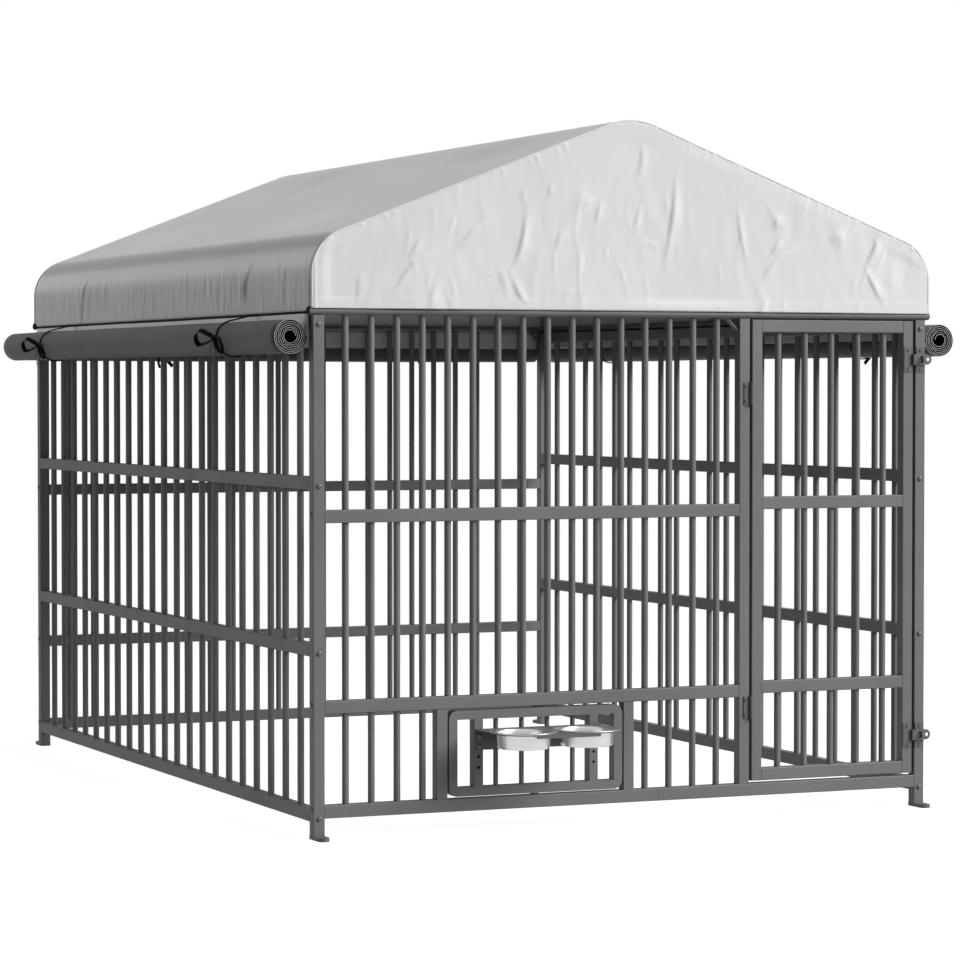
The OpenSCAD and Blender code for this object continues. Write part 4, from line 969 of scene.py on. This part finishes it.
def lathe(profile, sides):
    """Profile (radius, height) turned about Z: points (radius cos a, radius sin a, height)."""
    a = np.linspace(0.0, 2 * math.pi, sides + 1)[:, None]
    radius, height = profile[:, 0][None, :], profile[:, 1][None, :]
    surface = np.stack(np.broadcast_arrays(radius * np.cos(a), radius * np.sin(a), height), axis=-1)
    uv = np.stack(np.broadcast_arrays(a / (2 * math.pi), along(profile)[None, :]), axis=-1)
    return surface, uv


def bowl_profile(low, high):
    """Bowl from the middle of its bottom outside, up, round the rolled rim and down inside."""
    r = (high.x - low.x) / 2
    base, top = low.z, high.z
    outer = [
        (0.0, base + 0.0014), (r * 0.5, base + 0.0014), (r * 0.66, base + 0.0002),
        (r * 0.735, base + 0.0008), (r * 0.772, base + 0.005), (r * 0.782, base + 0.014),
        (r * 0.795, top - 0.008), (r * 0.808, top - 0.0022), (r * 0.83, top - 0.0012),
    ]
    bead = 0.001
    a = np.linspace(-math.pi * 0.5, math.pi * 0.75, 12)
    rim = np.stack([r - bead + bead * np.cos(a), top - bead + bead * np.sin(a)], axis=1)
    inner = [
        (r * 0.9, top - 0.0006), (r * 0.815, top - 0.0012), (r * 0.788, top - 0.008),
        (r * 0.766, base + 0.014), (r * 0.745, base + 0.0065), (r * 0.69, base + 0.0032),
        (r * 0.55, base + 0.0028), (0.0, base + 0.0028),
    ]
    return np.concatenate([smooth_path(outer, 46), rim, smooth_path(inner, 48)])


class KENNEL_OT_make_bowls(bpy.types.Operator):
    """Two spun bowls with rolled rims, standing in the rings of their holder"""

    bl_idname = "kennel.make_bowls"
    bl_label = "Make the bowls"

    def execute(self, context):
        steel = stainless("bowl_steel", context.scene.kennel_metal.steel_colour)
        for node in ("left_bowl", "right_bowl"):
            low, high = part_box(node)
            surface, uv = lathe(bowl_profile(low, high), 128)
            surface = surface + np.array([(low.x + high.x) / 2, (low.y + high.y) / 2, 0.0])
            bowl = merged(grid_object(node + "_spun", surface, uv))
            place(bowl, node + "_lift", [steel], [node])
        return {"FINISHED"}


class KENNEL_OT_finish_metal(bpy.types.Operator):
    """Powder coat on tubes and plates, dark plating on bolts, screws and pins, plastic end caps"""

    bl_idname = "kennel.finish_metal"
    bl_label = "Finish the metal"

    def execute(self, context):
        metal = context.scene.kennel_metal
        finishes = {
            "frame_paint": powder_coat("frame_paint", metal.frame_colour),
            "fitting_paint": powder_coat("fitting_paint", metal.fitting_colour),
            "fastener_steel": dark_plating("fastener_plating", metal.bolt_colour),
            "cap_plastic": plain_tape("cap_plastic", metal.cap_colour),
        }
        for part in frame["record"]["subparts"]:
            finish = finishes.get(part["material_slot"])
            if finish is not None:
                node = frame["nodes"][part["node"]]
                node.data.materials.clear()
                node.data.materials.append(finish)
        return {"FINISHED"}


# Stage


def seen(tree):
    """1 for rays from the camera, from mirrors and through clear pieces, 0 for scattered light."""
    path = tree.nodes.new("ShaderNodeLightPath")
    direct = math_node(tree, "MAXIMUM", path.outputs["Is Camera Ray"], path.outputs["Is Glossy Ray"])
    return math_node(tree, "MAXIMUM", direct, path.outputs["Is Transmission Ray"])


def floor_material(stage):
    """Pale floor that is whitened where it is seen and turns plain white away from the object."""
    material, tree, shader, coords = start_material("studio_floor")
    spot = coords.outputs["Object"]
    watched = seen(tree)
    inputs = {
        "Base Color": tint(tree, noise_node(tree, spot, 1.5), stage.floor_colour, 0.99, 1.01),
        "Roughness": 0.9,
        "Specular IOR Level": 0.0,
        "Emission Color": (1.0, 1.0, 1.0, 1.0),
        "Emission Strength": range_node(tree, watched, 0.0, stage.floor_glow),
    }
    set_inputs(tree, shader, inputs)
    white = add_node(tree, "Emission", {"Strength": range_node(tree, watched, stage.sky, 1.0)})
    distance = add_node(tree, "VectorMath", {0: spot}, operation="LENGTH").outputs["Value"]
    away = range_node(tree, distance, 0.0, 1.0, stage.floor_near, stage.floor_far, "SMOOTHSTEP")
    shaders = {"Fac": away, 1: shader.outputs["BSDF"], 2: white.outputs["Emission"]}
    mix = add_node(tree, "MixShader", shaders)
    set_inputs(tree, tree.nodes["Material Output"], {"Surface": mix.outputs["Shader"]})
    return material


def area_light(name, aim, turn, rise, distance, size, power):
    """Square soft light aimed at a place, from a turn to the right of the front and a rise above level."""
    data = bpy.data.lights.new(name, "AREA")
    data.energy = power
    data.size = size
    lamp = bpy.data.objects.new(name, data)
    bpy.context.scene.collection.objects.link(lamp)
    towards = (math.cos(rise) * math.sin(turn), -math.cos(rise) * math.cos(turn), math.sin(rise))
    lamp.location = [a + distance * t for a, t in zip(aim, towards)]
    lamp.rotation_euler = (math.pi / 2 - rise, 0.0, turn)
    return lamp


class KENNEL_OT_set_stage(bpy.types.Operator):
    """White floor and background, soft studio light and the camera"""

    bl_idname = "kennel.set_stage"
    bl_label = "Set the stage"

    def execute(self, context):
        stage = context.scene.kennel_stage
        scene = context.scene
        data = bpy.data.cameras.new("camera")
        data.lens = stage.lens
        data.sensor_width = 36.0
        data.clip_end = 200.0
        camera = bpy.data.objects.new("camera", data)
        scene.collection.objects.link(camera)
        camera.location = stage.eye
        camera.rotation_euler = (math.pi / 2 + stage.tilt, 0.0, -stage.yaw)
        scene.camera = camera
        lines = np.linspace(-40.0, 40.0, 9)
        x, y = np.meshgrid(lines, lines, indexing="ij")
        surface = np.stack([x, y, np.zeros_like(x)], axis=-1)
        floor = grid_object("studio_floor", surface, surface[..., :2])
        floor.data.materials.append(floor_material(stage))
        area_light(
            "key_light", (0.0, -0.3, 0.8), stage.key_turn, stage.key_rise, stage.key_distance,
            stage.key_size, stage.key_power
        )
        fill = area_light(
            "fill_light", (0.0, 0.0, 1.0), stage.fill_turn, stage.fill_rise, stage.fill_distance,
            stage.fill_size, stage.fill_power
        )
        # Rails that face the fill light keep their dark satin look
        fill.visible_glossy = False
        world = bpy.data.worlds.new("studio")
        scene.world = world
        world.use_nodes = True
        tree = world.node_tree
        light = {"Color": (1.0, 1.0, 1.0, 1.0), "Strength": range_node(tree, seen(tree), stage.sky, 1.0)}
        set_inputs(tree, tree.nodes["Background"], light)
        scene.view_settings.view_transform = "Standard"
        return {"FINISHED"}


class KENNEL_PT_panel(bpy.types.Panel):
    """Steps that dress the kennel run"""

    bl_idname = "KENNEL_PT_panel"
    bl_label = "Kennel run"
    bl_space_type = "VIEW_3D"
    bl_region_type = "UI"
    bl_category = "Kennel"

    def draw(self, context):
        for step in STEPS:
            self.layout.operator(step.bl_idname)


SETTINGS = {
    "kennel_cover": CoverSettings,
    "kennel_curtain": CurtainSettings,
    "kennel_metal": MetalSettings,
    "kennel_stage": StageSettings,
}
STEPS = (
    KENNEL_OT_set_stage,
    KENNEL_OT_finish_metal,
    KENNEL_OT_make_cover,
    KENNEL_OT_make_curtains,
    KENNEL_OT_make_ties,
    KENNEL_OT_make_bowls,
)
CLASSES = (*SETTINGS.values(), *STEPS, KENNEL_PT_panel)


def register():
    for item in CLASSES:
        bpy.utils.register_class(item)
    for name, group in SETTINGS.items():
        setattr(bpy.types.Scene, name, bpy.props.PointerProperty(type=group))


def unregister():
    for name in SETTINGS:
        delattr(bpy.types.Scene, name)
    for item in reversed(CLASSES):
        bpy.utils.unregister_class(item)


def main():
    """Registers the steps and runs them in order."""
    register()
    bpy.ops.kennel.set_stage()
    bpy.ops.kennel.finish_metal()
    bpy.ops.kennel.make_cover()
    bpy.ops.kennel.make_curtains()
    bpy.ops.kennel.make_ties()
    bpy.ops.kennel.make_bowls()


if __name__ == "__main__":
    main()
